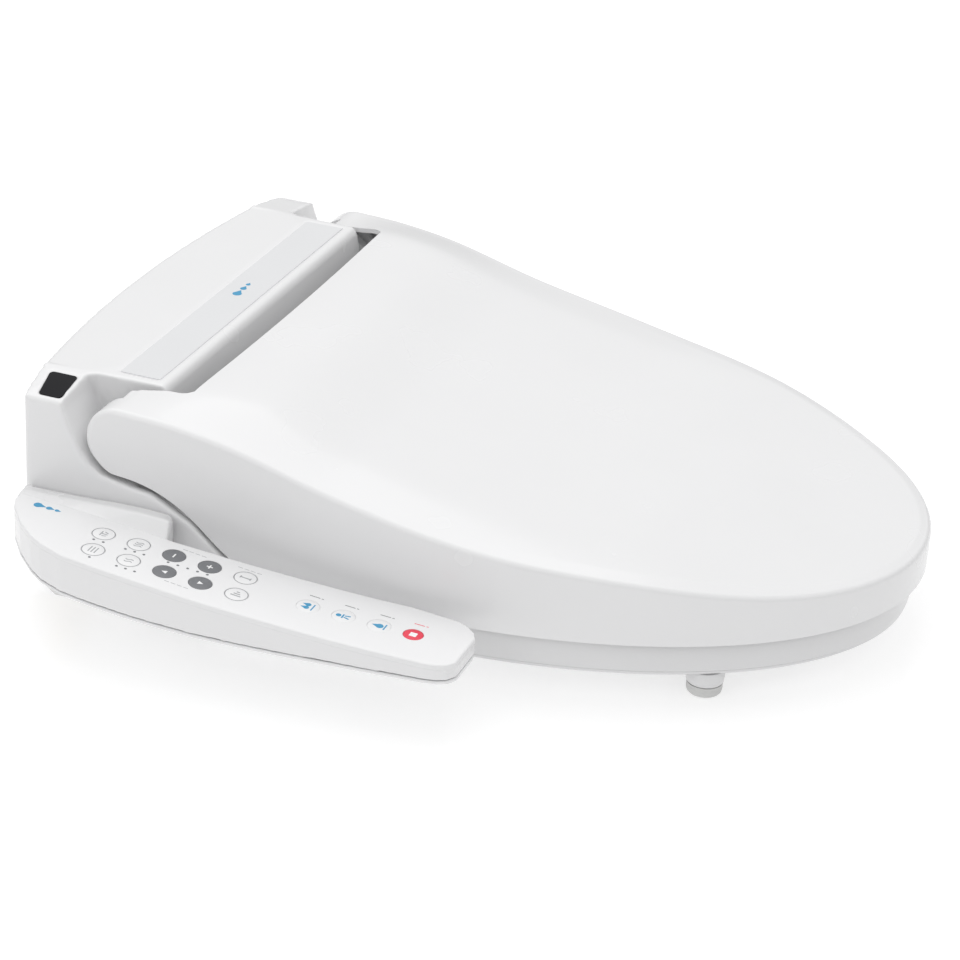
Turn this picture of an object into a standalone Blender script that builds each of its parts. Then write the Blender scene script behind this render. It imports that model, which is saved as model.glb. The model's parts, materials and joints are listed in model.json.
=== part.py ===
"""Electric bidet seat: hinged lid and heated seat on a rear housing, with a control arm at one side.

Metres. +Z is up, -Y is the front of the seat, +X is the seated user's left, -X the control arm's side.
The origin is on the toilet rim's plane, midway between the two bolts that hold the mounting plate.
"""

import math

import bmesh
import bpy
import numpy as np
from mathutils import Matrix, Vector

# ---------------------------------------------------------------- driving dimensions

GAP = 0.0003
FINE_GAP = 0.0005

HINGE_Y = -0.020
HINGE_Z = 0.1105
EAR_RADIUS = 0.021

LID_HALF_WIDTH = 0.1814
LID_STRAIGHT_END = -0.1893
LID_TIP = -0.4701
LID_OUTLINE_POWER = 2.04
LID_WALL = 0.003
LID_RIM_Z = 0.041
LID_EDGE_ROUND = 0.004
LID_SLOT_Y = -0.052
LID_SLOT_HALF = 0.143
LID_SLOT_BOW = 0.0028
LID_FLAP_X = 0.1505
LID_FLAP_EDGE = [(-0.0490, 0.1462), (-0.036, 0.1468), (HINGE_Y, 0.1492)]
LID_FLANK_SOFTNESS = 0.25
LID_CAP_X = 0.162
LID_WEB = (0.1625, 0.1665)
LID_CREASE = [(-0.470, 0.0649), (-0.412, 0.0702), (-0.336, 0.0807), (-0.2465, 0.0905),
              (-0.157, 0.1071), (-0.081, 0.1260), (-0.050, 0.1300), (-0.020, 0.1315)]
LID_CROWN = [(-0.470, 0.0005), (-0.330, 0.0015), (-0.160, 0.0040), (-0.052, 0.0062), (-0.020, 0.0005)]
LID_RIM = [(-0.113, 0.0410), (-0.104, 0.0445), (-0.094, 0.0515), (-0.086, 0.0575), (-0.069, 0.0720),
           (-0.043, 0.0855), (-0.030, 0.0885), (-0.020, 0.0895)]

LID_SIDE_STATIONS = (-0.170, -0.150, -0.130, -0.113, -0.104, -0.094, -0.086, -0.069, LID_SLOT_Y)
TOP_SHARES = (0.91, 0.806, 0.7, 0.5, 0.25, 0.0)
LID_SPINE_END = -0.400
CREASE_TURNS = [math.radians(turn) for turn in (0, 30, 60, 90)]

SEAT_INSET = 0.0077
SEAT_BASE_Z = 0.0168
SEAT_SPLIT_Z = 0.0200
SEAT_WALL = 0.0025
SEAT_REAR_Y = -0.062
SEAT_CORNER = 0.030
SEAT_STEPS = 56
SEAT_TOP = [(-0.470, 0.0450), (-0.300, 0.0460), (-0.170, 0.0480), (-0.115, 0.0580), (-0.085, 0.0710),
            (-0.062, 0.0850)]
SEAT_OUTER_EDGE = [(0.0, 0.0120), (0.0025, 0.0050), (0.0080, 0.0015)]
SEAT_INNER_EDGE = [(0.0100, 0.0020), (0.0030, 0.0060), (0.0, 0.0140)]
OPENING_Y = -0.265
OPENING_HALF_WIDTH = 0.110
OPENING_HALF_LENGTH = 0.150
OPENING_POWER = 2.2
NOTCH_SIDES = (0.104, 0.080)
NOTCH_RISE = [(-0.135, 0.0), (-0.115, 0.012), (-0.090, 0.022), (-0.074, 0.027), (-0.062, 0.031)]
HEATER_DEPTH = 0.0075
HEATER_THICK = 0.0008
HEATER_MARGIN = 0.018
SEAT_EAR = (0.1515, 0.1605)
SEAT_EAR_RADIUS = 0.0155
SEAT_EAR_FOOT = [(-0.062, 0.0620), (-0.075, 0.0640), (-0.075, 0.0810), (-0.062, 0.0930)]

HOUSING_HALF = 0.1835
HOUSING_REAR = 0.0573
BASE_LEAN = 0.0165
BASE_FLOOR = 0.008
HOUSING_REAR_RADIUS = 0.965
HOUSING_CORNER = [(0.0, 0.0026), (0.0010, 0.0008)]
HOUSING_FRONT = -0.040
HOUSING_WALL = 0.003
SHOULDER_INNER = 0.1455
HOUSING_CROWN = [(0.190, 0.1200), (0.1835, 0.1288), (0.1815, 0.1303), (0.175, 0.1317), (0.165, 0.1327),
                 (0.152, 0.1341), (0.145, 0.1349), (0.132, 0.1353)]
COVER_BASE_Z = 0.014
WING_INNER = 0.1772
WING_DROP = 0.0032
WING_LOWER = [(-0.0300, 0.0840), (-0.0300, 0.0140), (-0.0600, 0.0160), (-0.1120, 0.0290), (-0.1160, 0.0340)]
BODY_END = 0.190
HUMP_PLAN = [(0.1440, -0.055), (0.1440, -0.0337), (0.1457, 0.0105), (0.1495, 0.0165), (0.1530, 0.0165),
             (0.1530, 0.070)]
HUMP_PROFILE = [(0.070, 0.0140), (0.070, 0.1335), (0.004, 0.1353), (-0.0290, 0.1353), (-0.0325, 0.1340),
                (-0.0345, 0.1310), (-0.0375, 0.1180), (-0.0420, 0.1000), (-0.0460, 0.0800),
                (-0.0460, 0.0640), (-0.0400, 0.0590), (-0.0400, 0.0140)]
EAR_PROFILE = [(0.070, 0.0140), (0.070, 0.1400), (0.0190, 0.1400), (0.0158, 0.1320), (0.0140, 0.1250),
               (0.0100, 0.1150), (0.0060, 0.1070), (0.0025, 0.1000), (-0.0030, 0.0930), (-0.0100, 0.0880),
               (-0.0200, 0.0859), (-0.0300, 0.0840), (-0.0380, 0.0780), (-0.0400, 0.0740),
               (-0.0400, 0.0140)]

INLAY_HALF = 0.1373
INLAY_REAR = -0.0001
INLAY_FRONT = -0.0266
INLAY_TOP = 0.1353
INLAY_THICK = 0.0013
WINDOW_CORNERS = [(-0.1788, 0.0178), (-0.1532, 0.0198), (-0.1532, 0.0382), (-0.1788, 0.0326)]
WINDOW_THICK = 0.0014

ARM_BOTTOM = 0.0386
ARM_SPLIT = 0.0418
ARM_LIFT = [(-0.260, 0.0), (-0.090, 0.0), (-0.061, 0.0020), (-0.042, 0.0040), (-0.022, 0.0062),
            (-0.006, 0.0076), (0.004, 0.0098), (0.017, 0.0124), (0.0362, 0.0145)]
ARM_CHAMFER = [(0.0, 0.0022), (0.0006, 0.0010), (0.0022, 0.0)]
ARM_WALL = 0.0024
ARM_TURN = math.radians(3.1)
ARM_ROW_TURN = math.radians(9.5)
ARM_KEY_ORIGIN = (-0.2269, -0.0776)
ARM_PANEL = [(-0.290, 0.0515), (-0.250, 0.0520), (-0.221, 0.0533), (-0.184, 0.0555), (-0.144, 0.0590),
             (-0.106, 0.0630), (-0.070, 0.0672), (-0.030, 0.0715), (0.020, 0.0755), (0.060, 0.0770)]
ARM_WEB_END = (-0.0640, -0.0550)
ARM_ROOT_X = -0.1839
ARM_INNER = [(-0.2590, -0.2060), (-0.2555, -0.1990), (-0.2500, -0.1945), (-0.2435, -0.1915),
             (-0.2150, -0.1900), (-0.1580, -0.1953), (-0.1050, -0.2000), (-0.0680, -0.2028),
             (0.0600, -0.2030)]
ARM_OUTER = [(-0.2590, -0.2350), (-0.2555, -0.2405), (-0.2500, -0.2435), (-0.2435, -0.2449),
             (-0.2060, -0.2480), (-0.1580, -0.2511), (-0.1050, -0.2549), (-0.0680, -0.2560),
             (-0.0420, -0.2562), (-0.0221, -0.2552), (-0.0061, -0.2498), (0.0030, -0.2447),
             (0.0156, -0.2340), (0.0222, -0.2258), (0.0274, -0.2194), (0.0306, -0.2125),
             (0.0332, -0.2065), (0.0350, -0.1990), (0.0362, -0.1880)]
WEB_CREST_X = -0.1952
WEB_CREST = [(-0.064, 0.0746), (-0.058, 0.0756), (-0.045, 0.0763), (-0.030, 0.0763), (-0.015, 0.0757),
             (0.000, 0.0750), (0.012, 0.0746), (0.0362, 0.0742)]
WEB_ROOT = [(-0.064, 0.0735), (-0.0268, 0.0742), (-0.010, 0.0729), (0.0165, 0.0719), (0.0362, 0.0716)]
OVERLAY_EDGE = [(0.0003, 0.0011), (0.0007, 0.0004), (0.0016, 0.0)]
OVERLAY_ENDS = [(-0.2588, 0.0009), (-0.2580, 0.0002), (0.0310, 0.0001), (0.0315, 0.0006)]
OVERLAY_THICK = 0.0014
COVER_DROP = 0.0018
KEY_RADIUS = 0.0069
STOP_RADIUS = 0.0059
KEY_THICK = 0.0012
KEY_PITCH = 0.0222
KEY_COLUMN = 0.0097
KEY_GRID = {"key_cleaning": (-2, -1), "key_eco": (-2, 1), "key_seat_heat": (-1, -1),
            "key_water_heat": (-1, 1), "key_minus": (0, -1), "key_back": (0, 1), "key_plus": (1, -1),
            "key_forward": (1, 1), "key_wide": (2, -1), "key_pulse": (2, 1)}
KEY_ROW = {"key_massage": 0.0855, "key_front_wash": 0.1070, "key_rear_wash": 0.1285, "key_stop": 0.1490}

BOARD_LOW = 0.0436
BOARD_SLOPE = 0.032
BOARD_THICK = 0.0016

PIN_RADIUS = 0.0045
PIN_BORE = 0.0049
DAMPER_RADIUS = 0.009

NOZZLE_SLOPE = math.radians(30)
NOZZLE_TIP = (-0.0700, 0.0240)
NOZZLE_LENGTH = 0.138
NOZZLE_TIP_LENGTH = 0.018
NOZZLE_RADIUS = 0.0052
NOZZLE_X = 0.0105

SPRAY_PLACE = 0.007
SPRAY_RADIUS = 0.0011

RACK_MODULE = 0.001
PINION_TEETH = 12
PINION_RADIUS = RACK_MODULE * PINION_TEETH / 2
PINION_PLACE = 0.056
RACK_PITCH_HEIGHT = 0.0085
RACK_ROOT = 0.0072
RACK_TIP = 0.0091
TOOTH_BACKLASH = 0.00025
PRESSURE_ANGLE = math.radians(20)

SHROUD_HALF = 0.031
SHROUD_PROFILE = [(-0.0405, 0.0120), (-0.0740, 0.0120), (-0.0740, 0.0345), (-0.0680, 0.0412),
                  (-0.0405, 0.0568)]
SHROUD_HOLLOW = [(-0.0300, 0.0140), (-0.0720, 0.0140), (-0.0720, 0.0337), (-0.0669, 0.0392),
                 (-0.0405, 0.0544), (-0.0300, 0.0544)]
RACK_DOOR = [(-0.0036, 0.0), (0.0036, 0.0), (0.0036, 0.0097), (-0.0036, 0.0097)]
DOOR_RADIUS = 0.0058

PORT_Z = 0.0235
INLET_Y = 0.012
GLAND_Y = 0.026
VALVE_X = -0.150
PUMP_Y = -0.006
PUMP_Z = 0.024
BOARD_PARTS = [(0.062, 0.030, 0.018, 0.022), (0.090, 0.040, 0.014, 0.014), (0.114, 0.072, 0.016, 0.024)]
INLET_PROFILE = [(0, 0.0062), (0.0140, 0.0062), (0.0140, 0.0100), (0.0185, 0.0100), (0.0185, 0.0080),
                 (0.0300, 0.0080)]
GLAND_PROFILE = [(0, 0.0052), (0.0090, 0.0052), (0.0090, 0.0080), (0.0115, 0.0074)]

PLATE_HALF = 0.095
PLATE_FRONT = -0.030
PLATE_REAR = 0.030
PLATE_THICK = 0.004
BOLT_SPACING = 0.140
SLOT_WIDTH = 0.012
SLOT_LENGTH = 0.032

RELEASE_Y = -0.0145
RELEASE_Z = 0.026
RELEASE_RADIUS = 0.0075

BUMPER_PLACE = (0.070, -0.408)
BUMPER_RADIUS = 0.0070
FOOT_RADIUS = 0.0112
FOOT_SPLIT = 0.0074
FOOT_PLACES = {"front_left": (0.117, -0.3716), "front_right": (-0.117, -0.3716),
               "rear_left": (0.145, -0.120), "rear_right": (-0.145, -0.120)}
SIDES = {"left": 1, "right": -1}
UP = (0, 0, 1)


# ---------------------------------------------------------------- materials

def finish(name, colour, roughness, metallic=0.0):
    material = bpy.data.materials.new(name)
    material.use_nodes = True
    shader = material.node_tree.nodes["Principled BSDF"]
    shader.inputs["Base Color"].default_value = (*colour, 1.0)
    shader.inputs["Roughness"].default_value = roughness
    shader.inputs["Metallic"].default_value = metallic
    material.diffuse_color = (*colour, 1.0)
    return material


def make_finishes():
    return {
        "white": finish("gloss_white_plastic", (0.86, 0.86, 0.87), 0.18),
        "inlay": finish("pearl_inlay", (0.76, 0.77, 0.78), 0.35),
        "smoked": finish("smoked_window", (0.02, 0.02, 0.022), 0.08),
        "key_white": finish("key_white", (0.84, 0.85, 0.86), 0.3),
        "key_grey": finish("key_grey", (0.20, 0.205, 0.215), 0.35),
        "key_red": finish("key_red", (0.80, 0.04, 0.09), 0.35),
        "overlay": finish("overlay_film", (0.84, 0.85, 0.86), 0.3),
        "rubber": finish("bumper_rubber", (0.78, 0.78, 0.78), 0.6),
        "steel": finish("steel", (0.60, 0.61, 0.62), 0.3, 1.0),
        "brass": finish("plated_brass", (0.70, 0.68, 0.62), 0.25, 1.0),
        "inner": finish("grey_inner_plastic", (0.45, 0.46, 0.47), 0.5),
        "board": finish("circuit_board", (0.02, 0.16, 0.07), 0.5),
        "foil": finish("heater_foil", (0.65, 0.66, 0.68), 0.35, 1.0),
        "nozzle": finish("nozzle_plastic", (0.80, 0.81, 0.82), 0.25),
    }


# ---------------------------------------------------------------- shape helpers

def smooth_curve(knots):
    """The smooth curve through (position, height) pairs, as a function of position."""
    place, height = np.array(sorted(knots)).T
    slope = np.gradient(height, place)

    def value(position):
        position = float(np.clip(position, place[0], place[-1]))
        i = int(np.clip(np.searchsorted(place, position) - 1, 0, len(place) - 2))
        span = place[i + 1] - place[i]
        s = (position - place[i]) / span
        start = height[i] * (2 * s**3 - 3 * s**2 + 1) + slope[i] * span * (s**3 - 2 * s**2 + s)
        end = height[i + 1] * (3 * s**2 - 2 * s**3) + slope[i + 1] * span * (s**3 - s**2)
        return float(start + end)

    return value


def ramp(value, start, end):
    """0 before start, 1 after end, and a smooth step between them."""
    s = min(max((value - start) / (end - start), 0.0), 1.0)
    return s * s * (3 - 2 * s)


def add_mesh(name, points, faces, material, sharp_angle=35):
    mesh = bpy.data.meshes.new(name)
    mesh.from_pydata([tuple(p) for p in points], [], faces)
    obj = bpy.data.objects.new(name, mesh)
    bpy.context.scene.collection.objects.link(obj)
    work = bmesh.new()
    work.from_mesh(mesh)
    bmesh.ops.remove_doubles(work, verts=work.verts, dist=1e-6)
    bmesh.ops.dissolve_degenerate(work, edges=work.edges, dist=1e-6)
    bmesh.ops.recalc_face_normals(work, faces=work.faces)
    work.to_mesh(mesh)
    work.free()
    mesh.materials.append(material)
    mesh.shade_smooth()
    mesh.set_sharp_from_angle(angle=math.radians(sharp_angle))
    return obj


def hide_cutter(obj):
    obj.hide_render = True
    obj.display_type = "WIRE"


def combine(target, operation, *others):
    for other in others:
        modifier = target.modifiers.new(f"{operation.lower()}_{other.name}", "BOOLEAN")
        modifier.operation = operation
        modifier.solver = "EXACT"
        modifier.object = other
        hide_cutter(other)
    return target


def cut(target, *cutters):
    return combine(target, "DIFFERENCE", *cutters)


def join(target, *others):
    return combine(target, "UNION", *others)


def between(name, rings, material):
    """A closed solid through rings of equal length, with both ends capped."""
    count = len(rings[0])
    points = [p for ring in rings for p in ring]
    faces = []
    for start in range(0, (len(rings) - 1) * count, count):
        for i in range(count):
            after = (i + 1) % count
            faces.append((start + i, start + after, start + count + after, start + count + i))
    faces.append(tuple(range(count))[::-1])
    faces.append(tuple(range((len(rings) - 1) * count, len(rings) * count)))
    return add_mesh(name, points, faces, material)


def prism(name, outline, low, high, material):
    """An outline of (x, y) points, extruded along Z."""
    return between(name, [[(x, y, z) for x, y in outline] for z in (low, high)], material)


def side_prism(name, outline, low, high, material):
    """An outline of (y, z) points, extruded along X."""
    return between(name, [[(x, y, z) for y, z in outline] for x in (low, high)], material)


def block(name, low, high, material):
    outline = [(low[0], low[1]), (high[0], low[1]), (high[0], high[1]), (low[0], high[1])]
    return prism(name, outline, low[2], high[2], material)


def turned(name, base, direction, profile, material, sides=24):
    """A solid of revolution: profile holds (distance along direction, radius) pairs."""
    turn = Vector(direction).normalized().to_track_quat("Z", "Y").to_matrix()
    rings = []
    for along, radius in profile:
        ring = []
        for i in range(sides):
            angle = 2 * math.pi * i / sides
            local = Vector((radius * math.cos(angle), radius * math.sin(angle), along))
            ring.append(Vector(base) + turn @ local)
        rings.append(ring)
    return between(name, rings, material)


def rod(name, start, end, radius, material, sides=24):
    along = Vector(end) - Vector(start)
    return turned(name, start, along, [(0, radius), (along.length, radius)], material, sides)


def inset(outline, distance):
    """The closed outline, moved inwards by distance along each side's normal."""
    count = len(outline)
    area = sum(outline[i][0] * outline[(i + 1) % count][1] - outline[(i + 1) % count][0] * outline[i][1]
               for i in range(count))
    turn = 1 if area > 0 else -1
    moved = []
    for i in range(count):
        before, here, after = (Vector(outline[(i + k) % count]) for k in (-1, 0, 1))
        first = (here - before).normalized()
        second = (after - here).normalized()
        first_normal = Vector((-first.y, first.x)) * turn
        second_normal = Vector((-second.y, second.x)) * turn
        middle = (first_normal + second_normal).normalized()
        moved.append(tuple(here + middle * distance / max(middle.dot(first_normal), 0.5)))
    return moved


def rounded(corners, steps=4):
    """An outline from (x, y, radius) corners, each rounded by an arc."""
    count = len(corners)
    outline = []
    for i, (x, y, radius) in enumerate(corners):
        here = Vector((x, y))
        before = (Vector(corners[i - 1][:2]) - here).normalized()
        after = (Vector(corners[(i + 1) % count][:2]) - here).normalized()
        if radius == 0:
            outline.append((x, y))
            continue
        half = before.angle(after) / 2
        reach = radius / math.tan(half)
        centre = here + (before + after).normalized() * radius / math.sin(half)
        start = here + before * reach - centre
        sweep = start.angle_signed(here + after * reach - centre)
        for k in range(steps + 1):
            spoke = start.copy()
            spoke.rotate(Matrix.Rotation(-sweep * k / steps, 2))
            outline.append(tuple(centre + spoke))
    return outline


def round_box(left, right, front, rear, radius):
    """A rectangle's outline with all four corners rounded."""
    corners = [(left, front), (right, front), (right, rear), (left, rear)]
    return rounded([(x, y, radius) for x, y in corners])


def mirror_x(points):
    return [(-p[0], *p[1:]) for p in reversed(points)]


def place_on_hinge(obj):
    """Moves the object's origin to the hinge line without moving its shape."""
    hinge = Vector((0, HINGE_Y, HINGE_Z))
    obj.data.transform(Matrix.Translation(-hinge))
    obj.location = hinge


# ---------------------------------------------------------------- lid

crease_height = smooth_curve(LID_CREASE)
crown_height = smooth_curve(LID_CROWN)


def rim_height(y):
    return smooth_curve(LID_RIM)(y) if y > LID_RIM[0][0] else LID_RIM_Z


def lid_outline(steps, offset=0.0):
    """(x, y, normal x, normal y) down the +X side of the lid, from its straight end to the tip."""
    length = LID_STRAIGHT_END - LID_TIP - offset
    width = LID_HALF_WIDTH - offset
    power = 2 / LID_OUTLINE_POWER
    found = []
    for i in range(steps + 1):
        angle = math.pi / 2 * i / steps
        c, s = math.cos(angle), math.sin(angle)
        x = width * max(c, 0.0) ** power if i < steps else 0.0
        y = LID_STRAIGHT_END - length * s**power
        nx = (x / width) ** (LID_OUTLINE_POWER - 1) / width if x > 0 else 0.0
        ny = -(((LID_STRAIGHT_END - y) / length) ** (LID_OUTLINE_POWER - 1)) / length
        size = math.hypot(nx, ny)
        found.append((x, y, nx / size, ny / size))
    return found


def lid_top(x, y):
    """Height of the lid's top: a flat middle band with a flatter flank down to the crease on each side."""
    inward = (LID_HALF_WIDTH - LID_EDGE_ROUND - abs(x)) / (LID_HALF_WIDTH - LID_EDGE_ROUND - LID_SLOT_HALF)
    flank = (inward + 1 - math.hypot(inward - 1, LID_FLANK_SOFTNESS)) / 2
    return crease_height(y) + crown_height(y) * max(flank, 0.0)


def lid_row(x, y, nx, ny):
    """One row of the lid's outer skin: up the side from the rim and round the crease."""
    rim = rim_height(y)
    top = crease_height(y)
    row = [(x, y, rim), (x, y, HINGE_Z if y > LID_SLOT_Y else (rim + top - LID_EDGE_ROUND) / 2)]
    for turn in CREASE_TURNS:
        inward = LID_EDGE_ROUND * (1 - math.cos(turn))
        height = top - LID_EDGE_ROUND * (1 - math.sin(turn))
        row.append((max(x - nx * inward, 0.0), y - ny * inward, height))
    return row


def across(edge, places):
    """Points of the lid's top, straight in from an edge point, at each distance from the middle."""
    return [(x, edge[1], lid_top(x, edge[1])) for x in places]


def towards_spine(edge, spine_y):
    """Points of the lid's top on the straight line from an edge point to the middle line at spine_y."""
    found = []
    for share in TOP_SHARES:
        x = edge[0] * share
        y = edge[1] * share + spine_y * (1 - share)
        if spine_y == LID_SLOT_Y:
            y -= LID_SLOT_BOW * max(1 - (x / LID_SLOT_HALF) ** 2, 0.0)
        found.append((x, y, lid_top(x, y)))
    return found


def ear_cap_row(turn):
    """One row round the ear's rounded end, from the fillet in to the flap's edge."""
    profile = [(LID_HALF_WIDTH - LID_EDGE_ROUND * (1 - math.cos(roll)),
                EAR_RADIUS - LID_EDGE_ROUND * (1 - math.sin(roll))) for roll in CREASE_TURNS]
    profile += [(LID_CAP_X, EAR_RADIUS), (LID_FLAP_X, EAR_RADIUS)]
    return [(x, HINGE_Y + r * math.cos(turn), HINGE_Z + r * math.sin(turn)) for x, r in profile]


def make_lid_skin(white):
    """The lid's outer skin on the +X side: rows from the tip back to the ear, then round the ear."""
    rows = []
    for station in lid_outline(14)[::-1]:
        row = lid_row(*station)
        bow = (station[1] - LID_STRAIGHT_END) / (LID_TIP - LID_STRAIGHT_END)
        spine_y = LID_STRAIGHT_END + (LID_SPINE_END - LID_STRAIGHT_END) * bow
        rows.append(row + towards_spine(row[-1], spine_y))
    for y in LID_SIDE_STATIONS:
        row = lid_row(LID_HALF_WIDTH, y, 1.0, 0.0)
        rows.append(row + towards_spine(row[-1], y))
    ear_rows = [rows[-1][:len(CREASE_TURNS) + 4]]
    for y, flap_x in LID_FLAP_EDGE:
        row = lid_row(LID_HALF_WIDTH, y, 1.0, 0.0)
        ear_rows.append(row + across(row[-1], [LID_CAP_X, flap_x]))
    cap_rows = [ear_rows[-1][2:]] + [ear_cap_row(math.radians(turn)) for turn in range(75, -61, -15)]
    points, faces = [], []
    add_strip(points, faces, rows)
    add_strip(points, faces, ear_rows)
    add_strip(points, faces, cap_rows[:3])
    add_strip(points, faces, [row[:-1] for row in cap_rows[2:]])
    centre = (LID_HALF_WIDTH, HINGE_Y, HINGE_Z)
    ends = [row[0] for row in cap_rows] + [ear_rows[-1][0]]
    for before, after in zip(ends, ends[1:]):
        faces.append((len(points), len(points) + 1, len(points) + 2))
        points += [centre, before, after]
    return add_mesh("lid_shell", points, faces, white)


def add_strip(points, faces, rows):
    start = len(points)
    columns = len(rows[0])
    points += [p for row in rows for p in row]
    for r in range(len(rows) - 1):
        for c in range(columns - 1):
            here = start + r * columns + c
            faces.append((here, here + 1, here + columns + 1, here + columns))


def make_lid(finishes):
    lid = make_lid_skin(finishes["white"])
    mirror = lid.modifiers.new("other_half", "MIRROR")
    mirror.use_axis = (True, False, False)
    mirror.merge_threshold = 0.00001
    wall = lid.modifiers.new("wall", "SOLIDIFY")
    wall.thickness = LID_WALL
    wall.offset = -1
    wall.use_even_offset = True
    white = finishes["white"]
    for word, side in SIDES.items():
        join(lid, hinge_rod(f"lid_web_{word}", side, *LID_WEB, EAR_RADIUS - 0.0015, white, 36))
    for word, side in SIDES.items():
        cut(lid, hinge_rod(f"lid_bore_{word}", side, 0.150, 0.172, PIN_BORE, white))
    return lid


# ---------------------------------------------------------------- seat

seat_top = smooth_curve(SEAT_TOP)
notch_rise = smooth_curve(NOTCH_RISE)


def seat_underside(x, y):
    """How far the seat's lower edge rises over the nozzles, behind the opening."""
    return notch_rise(y) * ramp(-abs(x), -NOTCH_SIDES[0], -NOTCH_SIDES[1]) if y > NOTCH_RISE[0][0] else 0.0


def polar_radius(outline):
    """The outline's distance from the opening's centre, as a function of the angle."""
    found = sorted((math.atan2(y - OPENING_Y, x) % (2 * math.pi), math.hypot(x, y - OPENING_Y))
                   for x, y in outline)
    angles = [found[-1][0] - 2 * math.pi] + [angle for angle, _ in found] + [found[0][0] + 2 * math.pi]
    radii = [found[-1][1]] + [radius for _, radius in found] + [found[0][1]]
    return lambda angle: float(np.interp(angle % (2 * math.pi), angles, radii))


def seat_outer_radius():
    side = [(x, y) for x, y, _, _ in lid_outline(60, SEAT_INSET)]
    half = side[0][0]
    corner = rounded([(half, LID_STRAIGHT_END, 0), (half, SEAT_REAR_Y, SEAT_CORNER), (0, SEAT_REAR_Y, 0)],
                     12)
    straight = [(half, y) for y in np.linspace(LID_STRAIGHT_END, SEAT_REAR_Y - SEAT_CORNER, 30)]
    rear = [(x, SEAT_REAR_Y) for x in np.linspace(0, half - SEAT_CORNER, 40)]
    right = side + straight + corner[1:-1] + rear
    return polar_radius(right + [(-x, y) for x, y in right if x > 0])


def opening_radius(angle):
    c, s = abs(math.cos(angle)), abs(math.sin(angle))
    return ((c / OPENING_HALF_WIDTH) ** OPENING_POWER + (s / OPENING_HALF_LENGTH) ** OPENING_POWER) ** (
        -1 / OPENING_POWER)


def ring_angles():
    return [2 * math.pi * i / SEAT_STEPS for i in range(SEAT_STEPS)]


def at_polar(angle, radius):
    return radius * math.cos(angle), OPENING_Y + radius * math.sin(angle)


def ring_mesh(name, sections, closed, material):
    """A skin round the opening through sections; closed joins each section's last point to its first."""
    count = len(sections[0])
    points = [p for section in sections for p in section]
    faces = []
    for a in range(len(sections)):
        b = (a + 1) % len(sections)
        for i in range(count if closed else count - 1):
            j = (i + 1) % count
            faces.append((a * count + i, b * count + i, b * count + j, a * count + j))
    return add_mesh(name, points, faces, material)


def make_seat_upper(finishes):
    outer = seat_outer_radius()
    sections = []
    for angle in ring_angles():
        rim, hole = outer(angle), opening_radius(angle)
        section = []
        for radius, drop in ([(rim - inward, drop) for inward, drop in SEAT_OUTER_EDGE]
                             + [((rim + hole) / 2, 0.0)]
                             + [(hole + outward, drop) for outward, drop in SEAT_INNER_EDGE]):
            x, y = at_polar(angle, radius)
            section.append((x, y, seat_top(y) - drop))
        for index, radius in ((0, rim), (len(section) + 1, hole)):
            x, y = at_polar(angle, radius)
            section.insert(index, (x, y, SEAT_SPLIT_Z + seat_underside(x, y)))
        sections.append(section)
    shell = ring_mesh("seat_upper_shell", sections, False, finishes["white"])
    wall = shell.modifiers.new("wall", "SOLIDIFY")
    wall.thickness = SEAT_WALL
    wall.offset = -1
    wall.use_even_offset = True
    for word, side in SIDES.items():
        turns = [math.radians(turn) for turn in range(125, -131, -15)]
        outline = [(HINGE_Y + SEAT_EAR_RADIUS * math.cos(t), HINGE_Z + SEAT_EAR_RADIUS * math.sin(t))
                   for t in turns] + SEAT_EAR_FOOT
        near, far = (side * x for x in SEAT_EAR)
        join(shell, side_prism(f"seat_ear_{word}", outline, near, far, finishes["white"]))
    for word, side in SIDES.items():
        cut(shell, hinge_rod(f"seat_bore_{word}", side, 0.148, 0.164, PIN_BORE, finishes["white"]))
    return shell


def hinge_rod(name, side, start, end, radius, material, sides=24):
    """A round bar on the hinge line, from start to end along X on one side."""
    ends = [(side * x, HINGE_Y, HINGE_Z) for x in (start, end)]
    return rod(name, *ends, radius, material, sides)


def make_seat_lower(finishes):
    outer = seat_outer_radius()
    top = SEAT_SPLIT_Z - GAP
    sections = []
    for angle in ring_angles():
        rim, hole = outer(angle), opening_radius(angle)
        section = []
        ledge = SEAT_WALL + 0.001
        for edge, inward, height in ((rim, 0, top), (rim, -ledge, top), (hole, ledge, top), (hole, 0, top),
                                     (hole, 0, SEAT_BASE_Z + 0.001), (hole, 0.001, SEAT_BASE_Z),
                                     (rim, -0.0022, SEAT_BASE_Z), (rim, -0.0004, SEAT_BASE_Z + 0.0014)):
            x, y = at_polar(angle, edge + inward)
            section.append((x, y, height + seat_underside(*at_polar(angle, edge))))
        sections.append(section)
    return ring_mesh("seat_lower_shell", sections, True, finishes["white"])


def make_seat_heater(finishes):
    outer = seat_outer_radius()
    sections = []
    for angle in ring_angles():
        section = []
        near, far = opening_radius(angle) + HEATER_MARGIN, outer(angle) - HEATER_MARGIN
        middle = (near + far) / 2
        above = [(far, 0), (middle, 0), (near, 0)]
        for radius, drop in above + [(radius, HEATER_THICK) for radius, _ in above[::-1]]:
            x, y = at_polar(angle, radius)
            section.append((x, y, seat_top(y) - HEATER_DEPTH - drop))
        sections.append(section)
    return ring_mesh("seat_heater", sections, True, finishes["foil"])


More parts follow.
